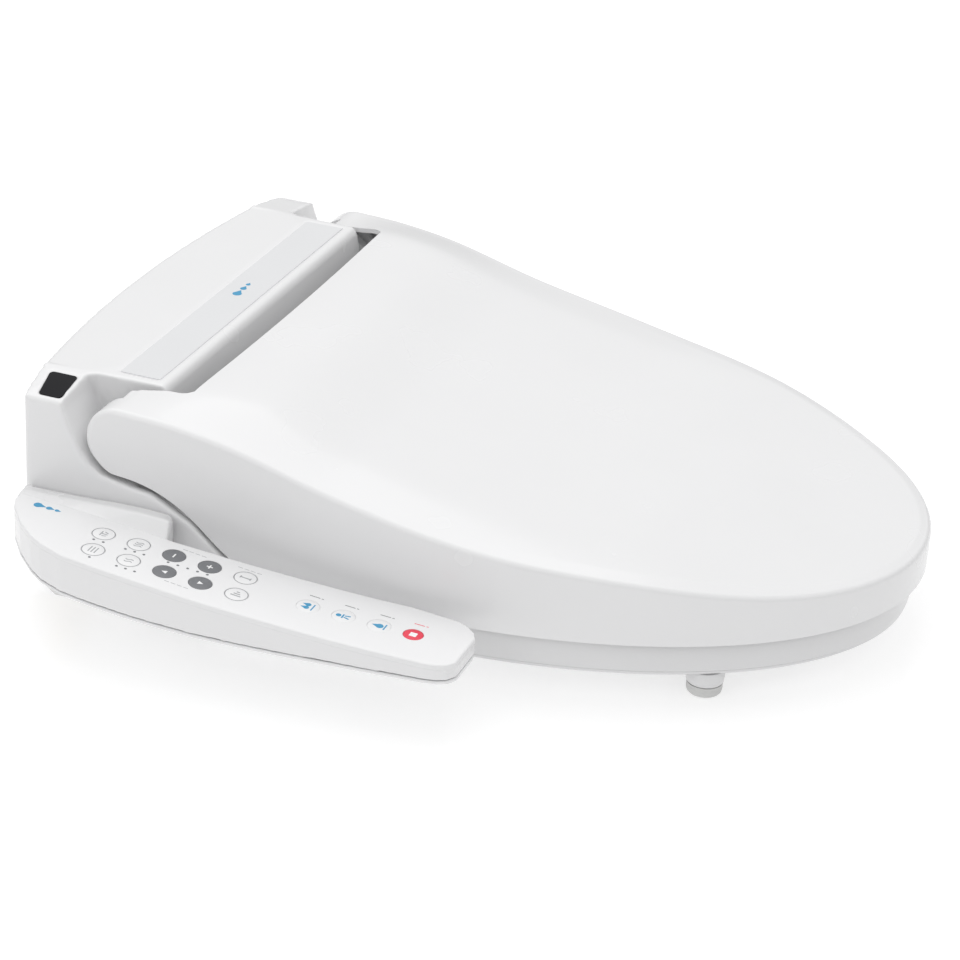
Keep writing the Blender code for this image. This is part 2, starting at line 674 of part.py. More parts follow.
def make_feet(finishes):
    """Each foot is a collar under the seat with a soft pad below it."""
    feet = []
    for word, (x, y) in FOOT_PLACES.items():
        collar = [(0, FOOT_RADIUS), (SEAT_BASE_Z - GAP - FOOT_SPLIT - 0.001, FOOT_RADIUS + 0.0004),
                  (SEAT_BASE_Z - GAP - FOOT_SPLIT, FOOT_RADIUS)]
        pad = [(0, FOOT_RADIUS - 0.0022), (0.0012, FOOT_RADIUS - 0.0008), (0.0030, FOOT_RADIUS - 0.0004),
               (FOOT_SPLIT - FINE_GAP, FOOT_RADIUS - 0.0004)]
        feet.append(turned(f"foot_collar_{word}", (x, y, FOOT_SPLIT), UP, collar, finishes["white"], 20))
        feet.append(turned(f"foot_pad_{word}", (x, y, 0), UP, pad, finishes["rubber"], 20))
    return feet


def make_lid_bumpers(finishes):
    bumpers = []
    for word, side in SIDES.items():
        x, y = BUMPER_PLACE
        low = seat_top(y) + FINE_GAP
        high = lid_top(x, y) - LID_WALL - 0.0012
        profile = [(0, BUMPER_RADIUS - 0.0012), (0.0015, BUMPER_RADIUS), (high - low, BUMPER_RADIUS)]
        bumpers.append(turned(f"lid_bumper_{word}", (side * x, y, low), UP, profile, finishes["rubber"], 16))
    return bumpers


# ---------------------------------------------------------------- housing

def rear_edge(inward=0.0):
    """The housing's plan outline, with its bowed rear and rounded rear corners."""
    half = HOUSING_HALF - inward
    radius = HOUSING_REAR_RADIUS - inward
    centre_y = HOUSING_REAR - HOUSING_REAR_RADIUS
    corner = math.asin((half - 0.004) / radius)
    turns = np.linspace(-corner, corner, 17)
    arc = [(radius * math.sin(t), centre_y + radius * math.cos(t)) for t in turns]
    right = [(half - dx, arc[0][1] - dy) for dx, dy in HOUSING_CORNER[::-1]] + [(half, -0.130)]
    return mirror_x(right) + arc + right


def wing_outline():
    """The fairing that follows the lid's rim forward along the seat's side."""
    upper = [(y, z - WING_DROP) for y, z in LID_RIM[:-2]]
    return upper + WING_LOWER


def crown_prism(name, drop, material):
    """Everything under the housing's top, which falls away a little towards both shoulders."""
    right = [(x, z - drop) for x, z in HOUSING_CROWN]
    outline = [(BODY_END, -0.010)] + right + mirror_x(right) + [(-BODY_END, -0.010)]
    return between(name, [[(x, y, z) for x, z in outline] for y in (-0.150, 0.090)], material)


def crown_at(x):
    places, heights = np.array(HOUSING_CROWN[::-1]).T
    return float(np.interp(abs(x), places, heights))


def crown_plate(name, outline, low, high, material):
    """A thin plate that follows the housing's top, between two distances below it."""
    rings = [[(x, y, crown_at(x) - drop) for x, y in outline] for drop in (low, high)]
    return between(name, rings, material)


def make_cover(finishes):
    white = finishes["white"]
    hump_plan = HUMP_PLAN + mirror_x(HUMP_PLAN)
    cover = side_prism("housing_cover", HUMP_PROFILE, -0.155, 0.155, white)
    combine(cover, "INTERSECT", prism("hump_plan", hump_plan, 0.005, 0.150, white))
    low_body = [(0.070, 0.0140), (0.070, 0.0750), (-0.0380, 0.0750), (-0.0400, 0.0730), (-0.0400, 0.0140)]
    join(cover, side_prism("low_body", low_body, -HOUSING_HALF, HOUSING_HALF, white))
    for word, side in SIDES.items():
        end = side * BODY_END
        join(cover, side_prism(f"ear_body_{word}", EAR_PROFILE, side * SHOULDER_INNER, end, white),
             side_prism(f"wing_{word}", wing_outline(), side * WING_INNER, end, white))
    combine(cover, "INTERSECT", prism("cover_plan", rear_edge(), 0.005, 0.150, white),
            crown_prism("cover_crown", 0.0, white))
    hollow_cover(cover, white)
    cut_cover_openings(cover, white)
    return cover


def hollow_cover(cover, white):
    """Empties the cover from below, leaving its wall all round."""
    wall = HOUSING_WALL
    hump_plan = inset(HUMP_PLAN + mirror_x(HUMP_PLAN), wall)
    hump_hollow = open_below(inset(HUMP_PROFILE, wall))
    hollow = side_prism("hump_hollow", hump_hollow, -0.152, 0.152, white)
    combine(hollow, "INTERSECT", prism("hump_hollow_plan", hump_plan, 0.0, 0.150, white))
    low_hollow = [(0.070, 0.0), (0.070, 0.0720), (-0.0370, 0.0720), (-0.0370, 0.0)]
    join(hollow, side_prism("low_hollow", low_hollow, -HOUSING_HALF + wall, HOUSING_HALF - wall, white))
    for word, side in SIDES.items():
        ear_hollow = open_below(inset(EAR_PROFILE, wall))
        join(hollow, side_prism(f"ear_hollow_{word}", ear_hollow, side * (SHOULDER_INNER + wall),
                                side * (HOUSING_HALF - wall), white))
    combine(hollow, "INTERSECT", prism("hollow_plan", rear_edge(wall), -0.001, 0.150, white),
            crown_prism("hollow_crown", wall, white))
    cut(cover, hollow)


def open_below(outline):
    """Carries an outline's lowest points down past the cover's lower edge."""
    lowest = min(z for _, z in outline)
    return [(y, 0.0 if z < lowest + 0.001 else z) for y, z in outline]


def cut_cover_openings(cover, white):
    inlay = block("inlay_recess", (-INLAY_HALF - GAP, INLAY_FRONT - GAP, INLAY_TOP - INLAY_THICK - GAP),
                  (INLAY_HALF + GAP, INLAY_REAR + GAP, 0.140), white)
    window = crown_plate("window_recess", inset(WINDOW_CORNERS, -GAP), WINDOW_THICK + GAP, -0.003, white)
    gate = block("nozzle_gate_cut", (-0.019, -0.050, 0.032), (0.019, -0.030, 0.0545), white)
    inlet = rod("inlet_cut", (-BODY_END, INLET_Y, PORT_Z), (-0.175, INLET_Y, PORT_Z), 0.0068, white)
    gland = rod("gland_cut", (0.175, GLAND_Y, PORT_Z), (BODY_END, GLAND_Y, PORT_Z), 0.0056, white)
    release = rod("release_cut", (0.175, RELEASE_Y, RELEASE_Z), (BODY_END, RELEASE_Y, RELEASE_Z),
                  RELEASE_RADIUS + FINE_GAP, white)
    cut(cover, inlay, window, gate, inlet, gland, release)
    for word, side in SIDES.items():
        cut(cover, hinge_rod(f"cover_bore_{word}", side, 0.136, 0.152, PIN_BORE, white))


def base_rings(inward, heights):
    """The base's outline at each height: its rear leans forward towards the bottom."""
    rings = []
    for z in heights:
        lean = BASE_LEAN * (1 - z / (COVER_BASE_Z - GAP))
        outline = [(x, max(y - lean if y > 0 else y, HOUSING_FRONT + inward)) for x, y in rear_edge(inward)]
        rings.append([(x, y, z) for x, y in outline])
    return rings


def make_base(finishes):
    white = finishes["white"]
    base = between("housing_base", base_rings(0.0, (0.0, COVER_BASE_Z - GAP)), white)
    cut(base, between("base_hollow", base_rings(HOUSING_WALL, (BASE_FLOOR, 0.020)), white),
        block("plate_pocket", (-PLATE_HALF - 0.001, PLATE_FRONT - 0.0015, -0.001),
              (PLATE_HALF + 0.001, PLATE_REAR + 0.0015, 0.0052), white),
        block("latch_slot", (0.0805, -0.0270, 0.0040), (0.0965, -0.0080, 0.0120), white))
    return base


def make_mounting_plate(finishes):
    """Bolts to the bowl; the housing slides onto it and is held by the latch behind its tab."""
    white = finishes["inner"]
    corners = round_box(-PLATE_HALF, PLATE_HALF, PLATE_FRONT, PLATE_REAR, 0.006)
    plate = prism("mounting_plate", corners, 0.0, PLATE_THICK, white)
    for word, side in SIDES.items():
        x, half = side * BOLT_SPACING / 2, SLOT_WIDTH / 2
        slot = round_box(x - half, x + half, -SLOT_LENGTH / 2, SLOT_LENGTH / 2, half * 0.98)
        cut(plate, prism(f"bolt_slot_{word}", slot, -0.002, 0.008, white))
    join(plate, block("latch_tab", (0.0885, -0.0245, 0.0030), (0.0935, -0.0175, 0.0120), white))
    return plate


def make_trim(finishes):
    inlay = block("top_inlay", (-INLAY_HALF, INLAY_FRONT, INLAY_TOP - INLAY_THICK),
                  (INLAY_HALF, INLAY_REAR, INLAY_TOP), finishes["inlay"])
    corners = [(*corner, 0.0025) for corner in WINDOW_CORNERS]
    window = crown_plate("sensor_window", rounded(corners), WINDOW_THICK, 0.0002, finishes["smoked"])
    return inlay, window


def make_release(finishes):
    """The side button and the latch bar that it pushes sideways clear of the plate's tab."""
    button = turned("release_button", (0.1780, RELEASE_Y, RELEASE_Z), (1, 0, 0),
                    [(0, RELEASE_RADIUS), (0.0075, RELEASE_RADIUS), (0.0085, RELEASE_RADIUS - 0.001)],
                    finishes["white"], 24)
    latch = block("release_latch", (0.0860, -0.0170, 0.0225), (0.1777, -0.0120, 0.0295), finishes["inner"])
    tooth = block("latch_tooth", (0.0888, -0.0165, 0.0095), (0.0925, -0.0125, 0.0240), finishes["inner"])
    join(latch, tooth)
    return button, latch


def make_hinges(finishes):
    for word, side in SIDES.items():
        hinge_rod(f"hinge_pin_{word}", side, 0.1404, 0.1680, PIN_RADIUS, finishes["steel"])
    hinge_rod("seat_damper", SIDES["left"], 0.100, 0.1400, DAMPER_RADIUS, finishes["inner"])
    hinge_rod("lid_damper", SIDES["right"], 0.100, 0.1400, DAMPER_RADIUS, finishes["inner"])


# ---------------------------------------------------------------- nozzles

def on_nozzle(x, along, above):
    """A point at x, a distance back from the nozzle's resting tip and a height above its axis."""
    c, s = math.cos(NOZZLE_SLOPE), math.sin(NOZZLE_SLOPE)
    return x, NOZZLE_TIP[0] + along * c - above * s, NOZZLE_TIP[1] + along * s + above * c


def rack_outline():
    """The nozzle's rack in (along, above): teeth one pitch apart, with one gap under the pinion."""
    pitch = math.pi * RACK_MODULE
    spread = math.tan(PRESSURE_ANGLE)
    outline = []
    first = PINION_PLACE - 0.5 * pitch
    for tooth in range(-1, int((NOZZLE_LENGTH - 0.004 - first) / pitch)):
        centre = first + tooth * pitch
        half = pitch / 4 - TOOTH_BACKLASH
        foot = half + (RACK_PITCH_HEIGHT - RACK_ROOT) * spread
        tip = half - (RACK_TIP - RACK_PITCH_HEIGHT) * spread
        outline += [(centre - foot, RACK_ROOT), (centre - tip, RACK_TIP), (centre + tip, RACK_TIP),
                    (centre + foot, RACK_ROOT)]
    return [(outline[0][0] - 0.001, 0.0036)] + [(outline[0][0] - 0.001, RACK_ROOT)] + outline + [
        (outline[-1][0] + 0.001, RACK_ROOT), (outline[-1][0] + 0.001, 0.0036)]


def pinion_outline():
    """Involute teeth round the pinion, with a tooth pointing down into the rack's gap."""
    base = PINION_RADIUS * math.cos(PRESSURE_ANGLE)
    root, tip = PINION_RADIUS - 0.0009, PINION_RADIUS + 0.0010
    half = math.pi / (2 * PINION_TEETH) - TOOTH_BACKLASH / PINION_RADIUS

    def involute(angle):
        return math.tan(angle) - angle

    def half_angle(radius):
        if radius <= base:
            return half + involute(PRESSURE_ANGLE)
        return half + involute(PRESSURE_ANGLE) - involute(math.acos(base / radius))

    outline = []
    for tooth in range(PINION_TEETH):
        middle = -math.pi / 2 + 2 * math.pi * tooth / PINION_TEETH
        flank = [root, base, PINION_RADIUS, (PINION_RADIUS + tip) / 2, tip]
        tooth_sides = [(r, middle - half_angle(r)) for r in flank]
        tooth_sides += [(r, middle + half_angle(r)) for r in reversed(flank)]
        outline += [(r * math.cos(t), r * math.sin(t)) for r, t in tooth_sides]
    return outline


def make_nozzle(word, side, finishes):
    x = side * NOZZLE_X
    plastic = finishes["nozzle"]
    back = Vector(on_nozzle(0, 1, 0)) - Vector(on_nozzle(0, 0, 0))
    tip_profile = [(0, 0.0030), (0.0012, 0.0046), (0.0030, NOZZLE_RADIUS),
                   (NOZZLE_TIP_LENGTH - GAP, NOZZLE_RADIUS)]
    tip = turned(f"nozzle_{word}_tip", on_nozzle(x, 0, 0), back, tip_profile, plastic, 20)
    cut(tip, rod(f"spray_hole_{word}", on_nozzle(x, SPRAY_PLACE, 0.0030), on_nozzle(x, SPRAY_PLACE, 0.0070),
                 SPRAY_RADIUS, plastic, 10))
    tube = rod(f"nozzle_{word}", on_nozzle(x, NOZZLE_TIP_LENGTH, 0), on_nozzle(x, NOZZLE_LENGTH, 0),
               NOZZLE_RADIUS, plastic, 20)
    rack_rings = [[on_nozzle(x + dx, along, above) for along, above in rack_outline()]
                  for dx in (-0.003, 0.003)]
    join(tube, between(f"rack_{word}", rack_rings, plastic))
    axle = RACK_PITCH_HEIGHT + PINION_RADIUS
    rings = [[on_nozzle(x + dx, PINION_PLACE + a, axle + b) for a, b in pinion_outline()]
             for dx in (-0.0028, 0.0028)]
    pinion = between(f"pinion_{word}", rings, finishes["inner"])
    bore = rod(f"pinion_bore_{word}", on_nozzle(x - 0.01, PINION_PLACE, axle),
               on_nozzle(x + 0.01, PINION_PLACE, axle), 0.0018, plastic, 12)
    cut(pinion, bore)
    motor = rod(f"nozzle_motor_{word}", on_nozzle(side * 0.0205, PINION_PLACE, axle),
                on_nozzle(side * 0.0360, PINION_PLACE, axle), 0.0085, finishes["steel"], 24)
    shaft = rod(f"motor_shaft_{word}", on_nozzle(side * 0.0210, PINION_PLACE, axle),
                on_nozzle(side * 0.0070, PINION_PLACE, axle), 0.0015, finishes["steel"], 12)
    join(motor, shaft)


def make_nozzle_bracket(finishes):
    """A sloping tray with side walls, under both nozzles."""
    right = [(0.0190, -0.0094), (0.0190, 0.0035), (0.0170, 0.0035), (0.0170, -0.0060)]
    section = right + mirror_x(right)
    rings = [[on_nozzle(x, along, above) for x, above in section] for along in (0.044, 0.126)]
    return between("nozzle_bracket", rings, finishes["inner"])


def make_nozzle_shroud(finishes):
    """The hood in front of the housing that the nozzles come out of."""
    white = finishes["white"]
    shroud = side_prism("nozzle_shroud", SHROUD_PROFILE, -SHROUD_HALF, SHROUD_HALF, white)
    hollow_half = SHROUD_HALF - 0.002
    cut(shroud, side_prism("shroud_hollow", SHROUD_HOLLOW, -hollow_half, hollow_half, white))
    for word, side in (("rear", 1), ("front", -1)):
        x = side * NOZZLE_X
        door = rod(f"nozzle_door_{word}", on_nozzle(x, -0.012, 0), on_nozzle(x, 0.008, 0), DOOR_RADIUS,
                   white, 20)
        slot = [[on_nozzle(x + dx, along, above) for dx, above in RACK_DOOR] for along in (-0.012, 0.010)]
        cut(shroud, door, between(f"rack_door_{word}", slot, white))
    return shroud


# ---------------------------------------------------------------- inner parts

def make_boards(finishes):
    board = finishes["board"]
    main = block("main_board", (0.045, 0.0300, 0.012), (0.130, 0.0316, 0.098), board)
    for i, (x, z, wide, tall) in enumerate(BOARD_PARTS):
        low, high = (x - wide / 2, 0.018, z - tall / 2), (x + wide / 2, 0.0305, z + tall / 2)
        join(main, block(f"component_{i}", low, high, board))
    block("sensor_board", (-0.1755, 0.0210, 0.1220), (-0.1560, 0.0320, 0.1234), board)


def make_water_parts(finishes):
    inner, steel, brass = finishes["inner"], finishes["steel"], finishes["brass"]
    prism("water_heater", round_box(-0.120, -0.045, -0.028, 0.022, 0.006), 0.012, 0.078, inner)
    valve = rod("solenoid_valve", (VALVE_X, INLET_Y, 0.0095), (VALVE_X, INLET_Y, 0.052), 0.0115, steel)
    port_end = VALVE_X + 0.005
    join(valve, rod("valve_port", (-0.170, INLET_Y, PORT_Z), (port_end, INLET_Y, PORT_Z), 0.0055, steel, 16))
    pump = rod("water_pump", (0.050, PUMP_Y, PUMP_Z), (0.078, PUMP_Y, PUMP_Z), 0.0125, inner)
    join(pump, rod("pump_port", (0.064, PUMP_Y, 0.030), (0.064, PUMP_Y, 0.046), 0.0035, inner, 12))
    inlet = turned("water_inlet", (-0.1710, INLET_Y, PORT_Z), (-1, 0, 0), INLET_PROFILE, brass)
    cut(inlet, rod("inlet_bore", (-0.1850, INLET_Y, PORT_Z), (-0.2100, INLET_Y, PORT_Z), 0.0052, brass))
    gland = turned("cord_gland", (0.1750, GLAND_Y, PORT_Z), (1, 0, 0), GLAND_PROFILE, inner)
    cut(gland, rod("gland_bore", (0.1700, GLAND_Y, PORT_Z), (0.1900, GLAND_Y, PORT_Z), 0.0034, inner, 16))


# ---------------------------------------------------------------- control arm

panel_height = smooth_curve(ARM_PANEL)


def arm_edge(knots, y):
    places, distances = np.array(knots).T
    return float(np.interp(y, places, distances))


def panel_slope(y):
    step = 0.001
    return (panel_height(y + step) - panel_height(y - step)) / (2 * step)


def arm_stations():
    ends = [y for y, _ in ARM_OUTER]
    web = list(np.linspace(*ARM_WEB_END, 5))
    return sorted(set(ends + web + [-0.190, -0.130, -0.090, -0.045, -0.018, 0.002]))


arm_lift = smooth_curve(ARM_LIFT)
web_crest = smooth_curve(WEB_CREST)
web_root = smooth_curve(WEB_ROOT)


def arm_inner_edge(y):
    """The arm's inner side, which swings out round the web's end to meet the housing."""
    free = arm_edge(ARM_INNER, y)
    start, end = ARM_WEB_END
    share = min(max((y - start) / (end - start), 0.0), 1.0)
    return free + (ARM_ROOT_X - free) * math.sqrt(share * (2 - share))


def arm_section(y):
    """The arm's outer skin across one station, from the inner lower edge over the top to the outer one."""
    inner, outer = arm_inner_edge(y), arm_edge(ARM_OUTER, y)
    top, split = panel_height(y) - COVER_DROP, ARM_SPLIT + arm_lift(y)
    if y > ARM_WEB_END[0]:
        crest = max(min(WEB_CREST_X, inner - 0.0016), outer + 0.003)
        shelf = max(arm_edge(ARM_INNER, y) - 0.0005, outer + 0.002)
        rise = max(web_crest(y), top)
        root = min(web_root(y), rise)
        near = [(inner, split), (inner, root - 0.002), (inner - 0.0004, root), (crest, rise),
                (min(shelf, crest - 0.0005), top)]
    else:
        near = [(inner, split), (inner, top - 0.0040), (inner, top - 0.0004), (inner - 0.0004, top),
                (inner - 0.0035, top)]
    far = [(outer + 0.0035, top), (outer + 0.0004, top), (outer, top - 0.0004), (outer, top - 0.0040),
           (outer, split)]
    limit = near[-1][0] - 0.0005
    far = [(min(x, limit - 0.0001 * i), z) for i, (x, z) in enumerate(far)]
    return [(x, y, z) for x, z in near + far]


def make_arm_upper(finishes):
    stations = arm_stations()
    sections = [arm_section(y) for y in stations]
    count = len(sections[0])
    points = [p for section in sections for p in section]
    faces = [(a * count + i, a * count + i + 1, (a + 1) * count + i + 1, (a + 1) * count + i)
             for a in range(len(sections) - 1) for i in range(count - 1)]
    faces.append(tuple(range(count)))
    faces.append(tuple(range((len(sections) - 1) * count, len(sections) * count)))
    cover = add_mesh("arm_upper_cover", points, faces, finishes["white"])
    wall = cover.modifiers.new("wall", "SOLIDIFY")
    wall.thickness = ARM_WALL
    wall.offset = -1
    wall.use_even_offset = True
    return cover


def make_arm_lower(finishes):
    """The tray below the arm: chamfered along both sides, and rising towards the rear with the split."""
    sections = []
    for y in arm_stations():
        inner, outer, lift = arm_inner_edge(y), arm_edge(ARM_OUTER, y), arm_lift(y)
        chamfer = min((inner - outer) / (3 * ARM_CHAMFER[-1][0]), 1.0)
        side = [(0.0, ARM_SPLIT - GAP)] + [(inward * chamfer, ARM_BOTTOM + up) for inward, up in ARM_CHAMFER]
        section = [(outer + inward, z) for inward, z in side]
        section += [(inner - inward, z) for inward, z in reversed(side)]
        sections.append([(x, y, z + lift) for x, z in section])
    return between("arm_lower_cover", sections, finishes["white"])


def overlay_section(y, drop):
    """The film plate's outline at one station, its long edges rounded; drop lowers the end stations."""
    inner, outer, top = arm_edge(ARM_INNER, y), arm_edge(ARM_OUTER, y), panel_height(y)
    first = OVERLAY_EDGE[0][0]
    near = [(inner - inset, y, top - max(fall, drop)) for inset, fall in OVERLAY_EDGE]
    far = [(outer + inset, y, top - max(fall, drop)) for inset, fall in OVERLAY_EDGE[::-1]]
    return near + far + [(outer + first, y, top - OVERLAY_THICK), (inner - first, y, top - OVERLAY_THICK)]


def make_overlay(finishes):
    ends = dict(OVERLAY_ENDS)
    stations = sorted(ends) + [y for y in arm_stations() if min(ends) < y < max(ends) and y not in ends]
    sections = [overlay_section(y, ends.get(y, 0.0)) for y in sorted(stations)]
    overlay = between("control_overlay", sections, finishes["overlay"])
    for name, (x, y, radius, _) in key_places().items():
        cutter = key_disc(f"hole_{name}", x, y, radius + GAP, -0.004, 0.004, finishes["overlay"])
        cut(overlay, cutter)
    return overlay


def key_disc(name, x, y, radius, low, high, material, edge=0.0):
    """A disc whose flat faces lie along the panel's slope at its place."""
    profile = [(low, radius), (high, radius)] if edge == 0 else [(low, radius), (high - edge, radius),
                                                                  (high, radius - edge)]
    disc = turned(name, (0, 0, 0), (0, 0, 1), profile, material, 24)
    disc.location = (x, y, panel_height(y))
    disc.rotation_euler = (math.atan(panel_slope(y)), 0, 0)
    return disc


def arm_point(along, across):
    """A point of the panel, measured from the key field's origin to the tip and to the outer side."""
    x = ARM_KEY_ORIGIN[0] + along * math.sin(ARM_TURN) - across * math.cos(ARM_ROW_TURN)
    y = ARM_KEY_ORIGIN[1] - along * math.cos(ARM_TURN) - across * math.sin(ARM_ROW_TURN)
    return x, y


def key_places():
    """Every key's centre, radius and finish: two columns of steps, then one row towards the tip."""
    dark = ("key_minus", "key_back", "key_plus", "key_forward")
    places = {}
    for name, (step, column) in KEY_GRID.items():
        x, y = arm_point(step * KEY_PITCH, column * KEY_COLUMN)
        places[name] = (x, y, KEY_RADIUS, "key_grey" if name in dark else "key_white")
    for name, along in KEY_ROW.items():
        x, y = arm_point(along, 0.0)
        places[name] = (x, y, STOP_RADIUS if name == "key_stop" else KEY_RADIUS,
                        "key_red" if name == "key_stop" else "key_white")
    return places


def make_keys(finishes):
    for name, (x, y, radius, colour) in key_places().items():
        key_disc(name, x, y, radius, -KEY_THICK, 0.0, finishes[colour], 0.0003)


def make_arm_board(finishes):
    """The key board, sloping with the panel above it."""
    corners = [arm_point(along, across) for along, across in ((-0.055, -0.018), (0.160, -0.014),
                                                              (0.160, 0.014), (-0.055, 0.018))]
    rings = [[(x, y, BOARD_LOW + BOARD_SLOPE * (y - corners[1][1]) + thick) for x, y in corners]
             for thick in (0.0, BOARD_THICK)]
    return between("arm_board", rings, finishes["board"])


# ---------------------------------------------------------------- whole object

def clear_scene():
    for obj in list(bpy.data.objects):
        bpy.data.objects.remove(obj)


def main():
    clear_scene()
    finishes = make_finishes()
    make_cover(finishes)
    make_base(finishes)
    make_mounting_plate(finishes)
    make_trim(finishes)
    make_release(finishes)
    make_hinges(finishes)
    make_nozzle("rear", 1, finishes)
    make_nozzle("front", -1, finishes)
    make_nozzle_bracket(finishes)
    make_nozzle_shroud(finishes)
    make_boards(finishes)
    make_water_parts(finishes)
    make_arm_upper(finishes)
    make_arm_lower(finishes)
    make_overlay(finishes)
    make_keys(finishes)
    make_arm_board(finishes)
    moving = [make_seat_upper(finishes), make_seat_lower(finishes), make_seat_heater(finishes)]
    moving += make_feet(finishes)
    moving += [make_lid(finishes)] + make_lid_bumpers(finishes)
    for piece in moving:
        place_on_hinge(piece)


main()
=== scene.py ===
"""Electric bidet seat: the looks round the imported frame, in the frame's metres and axes.

+Z is up, -Y the front of the seat, -X the control arm's side. Pieces with large soft curves are built
here with finer rows than the frame's own nodes; the other nodes get modifiers and materials.
"""

import json
import math

import bmesh
import bpy
import numpy as np
from mathutils import Matrix, Vector


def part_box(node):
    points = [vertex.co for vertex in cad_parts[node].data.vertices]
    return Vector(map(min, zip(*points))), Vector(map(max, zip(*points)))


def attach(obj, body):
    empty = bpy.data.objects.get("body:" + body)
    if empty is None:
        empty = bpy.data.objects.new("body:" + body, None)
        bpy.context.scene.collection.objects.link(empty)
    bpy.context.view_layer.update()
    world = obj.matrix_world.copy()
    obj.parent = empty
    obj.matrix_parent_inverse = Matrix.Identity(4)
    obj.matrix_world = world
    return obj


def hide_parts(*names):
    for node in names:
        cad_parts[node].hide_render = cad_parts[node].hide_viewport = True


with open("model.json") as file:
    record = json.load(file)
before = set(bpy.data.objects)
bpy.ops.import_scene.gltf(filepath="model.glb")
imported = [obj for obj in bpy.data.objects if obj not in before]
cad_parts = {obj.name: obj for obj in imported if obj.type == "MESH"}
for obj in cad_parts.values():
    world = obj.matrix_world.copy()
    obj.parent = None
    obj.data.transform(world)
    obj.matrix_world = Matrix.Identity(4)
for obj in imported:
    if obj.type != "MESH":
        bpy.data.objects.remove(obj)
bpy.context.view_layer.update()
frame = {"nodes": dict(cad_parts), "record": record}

GAP = 0.0003
HINGE_Y = -0.020
HINGE_Z = 0.1105
EAR_RADIUS = 0.021

LID_HALF_WIDTH = 0.1814
LID_STRAIGHT_END = -0.1893
LID_TIP = -0.4701
LID_OUTLINE_POWER = 2.04
LID_WALL = 0.003
LID_RIM_Z = 0.041
LID_WEB = (0.1625, 0.0040)
LID_EDGE_ROUND = 0.004
LID_SLOT_Y = -0.052
LID_SLOT_HALF = 0.143
LID_SLOT_BOW = 0.0028
LID_FLAP_X = 0.1505
LID_SPINE_END = -0.400
LID_FLANK_SOFTNESS = 0.25
LID_CREASE = [(-0.470, 0.0649), (-0.412, 0.0702), (-0.336, 0.0807), (-0.2465, 0.0905),
              (-0.157, 0.1071), (-0.081, 0.1260), (-0.050, 0.1300), (-0.020, 0.1315)]
LID_CROWN = [(-0.470, 0.0005), (-0.330, 0.0015), (-0.160, 0.0040), (-0.052, 0.0062), (-0.020, 0.0005)]
LID_RIM = [(-0.113, 0.0410), (-0.104, 0.0445), (-0.094, 0.0515), (-0.086, 0.0575), (-0.069, 0.0720),
           (-0.043, 0.0855), (-0.030, 0.0885), (-0.020, 0.0895)]
LID_FLAP_EDGE = [(-0.0520, 0.1440), (-0.0490, 0.1462), (-0.036, 0.1468), (-0.020, 0.1492)]

SEAT_INSET = 0.0077
SEAT_BASE_Z = 0.0168
SEAT_SPLIT_Z = 0.0200
SEAT_WALL = 0.0025
SEAT_RIM_ROUND = (0.010, 0.012)
SEAT_HOLE_ROUND = (0.012, 0.014)
SEAT_CROWN = 0.0006
SEAT_REAR_Y = -0.062
SEAT_CORNER = 0.030
SEAT_TOP = [(-0.470, 0.0450), (-0.300, 0.0460), (-0.170, 0.0480), (-0.115, 0.0580), (-0.085, 0.0710),
            (-0.062, 0.0850)]
OPENING_Y = -0.265
OPENING_HALF_WIDTH = 0.110
OPENING_HALF_LENGTH = 0.150
OPENING_POWER = 2.2
NOTCH_SIDES = (0.104, 0.080)
NOTCH_RISE = [(-0.135, 0.0), (-0.115, 0.012), (-0.090, 0.022), (-0.074, 0.027), (-0.062, 0.031)]
SEAT_EAR = (0.1515, 0.1605)
SEAT_EAR_RADIUS = 0.0155

ARM_PANEL = [(-0.290, 0.0515), (-0.250, 0.0520), (-0.221, 0.0533), (-0.184, 0.0555), (-0.144, 0.0590),
             (-0.106, 0.0630), (-0.070, 0.0672), (-0.030, 0.0715), (0.020, 0.0755), (0.060, 0.0770)]
ARM_INNER = [(-0.2590, -0.2060), (-0.2555, -0.1990), (-0.2500, -0.1945), (-0.2435, -0.1915),
             (-0.2150, -0.1900), (-0.1580, -0.1953), (-0.1050, -0.2000), (-0.0680, -0.2028),
             (0.0600, -0.2030)]
ARM_OUTER = [(-0.2590, -0.2350), (-0.2555, -0.2405), (-0.2500, -0.2435), (-0.2435, -0.2449),
             (-0.2060, -0.2480), (-0.1580, -0.2511), (-0.1050, -0.2549), (-0.0680, -0.2560),
             (-0.0420, -0.2562), (-0.0221, -0.2552), (-0.0061, -0.2498), (0.0030, -0.2447),
             (0.0156, -0.2340), (0.0222, -0.2258), (0.0274, -0.2194), (0.0306, -0.2125),
             (0.0332, -0.2065), (0.0350, -0.1990), (0.0362, -0.1880)]
FILM_ENDS = (-0.2588, 0.0315)
FILM_THICK = 0.0014
FILM_SKIRT = 0.0030
FILM_ROUND = 0.0016
SIDES = {"left": 1, "right": -1}
UP = (0, 0, 1)


# ---------------------------------------------------------------- camera, floor and light

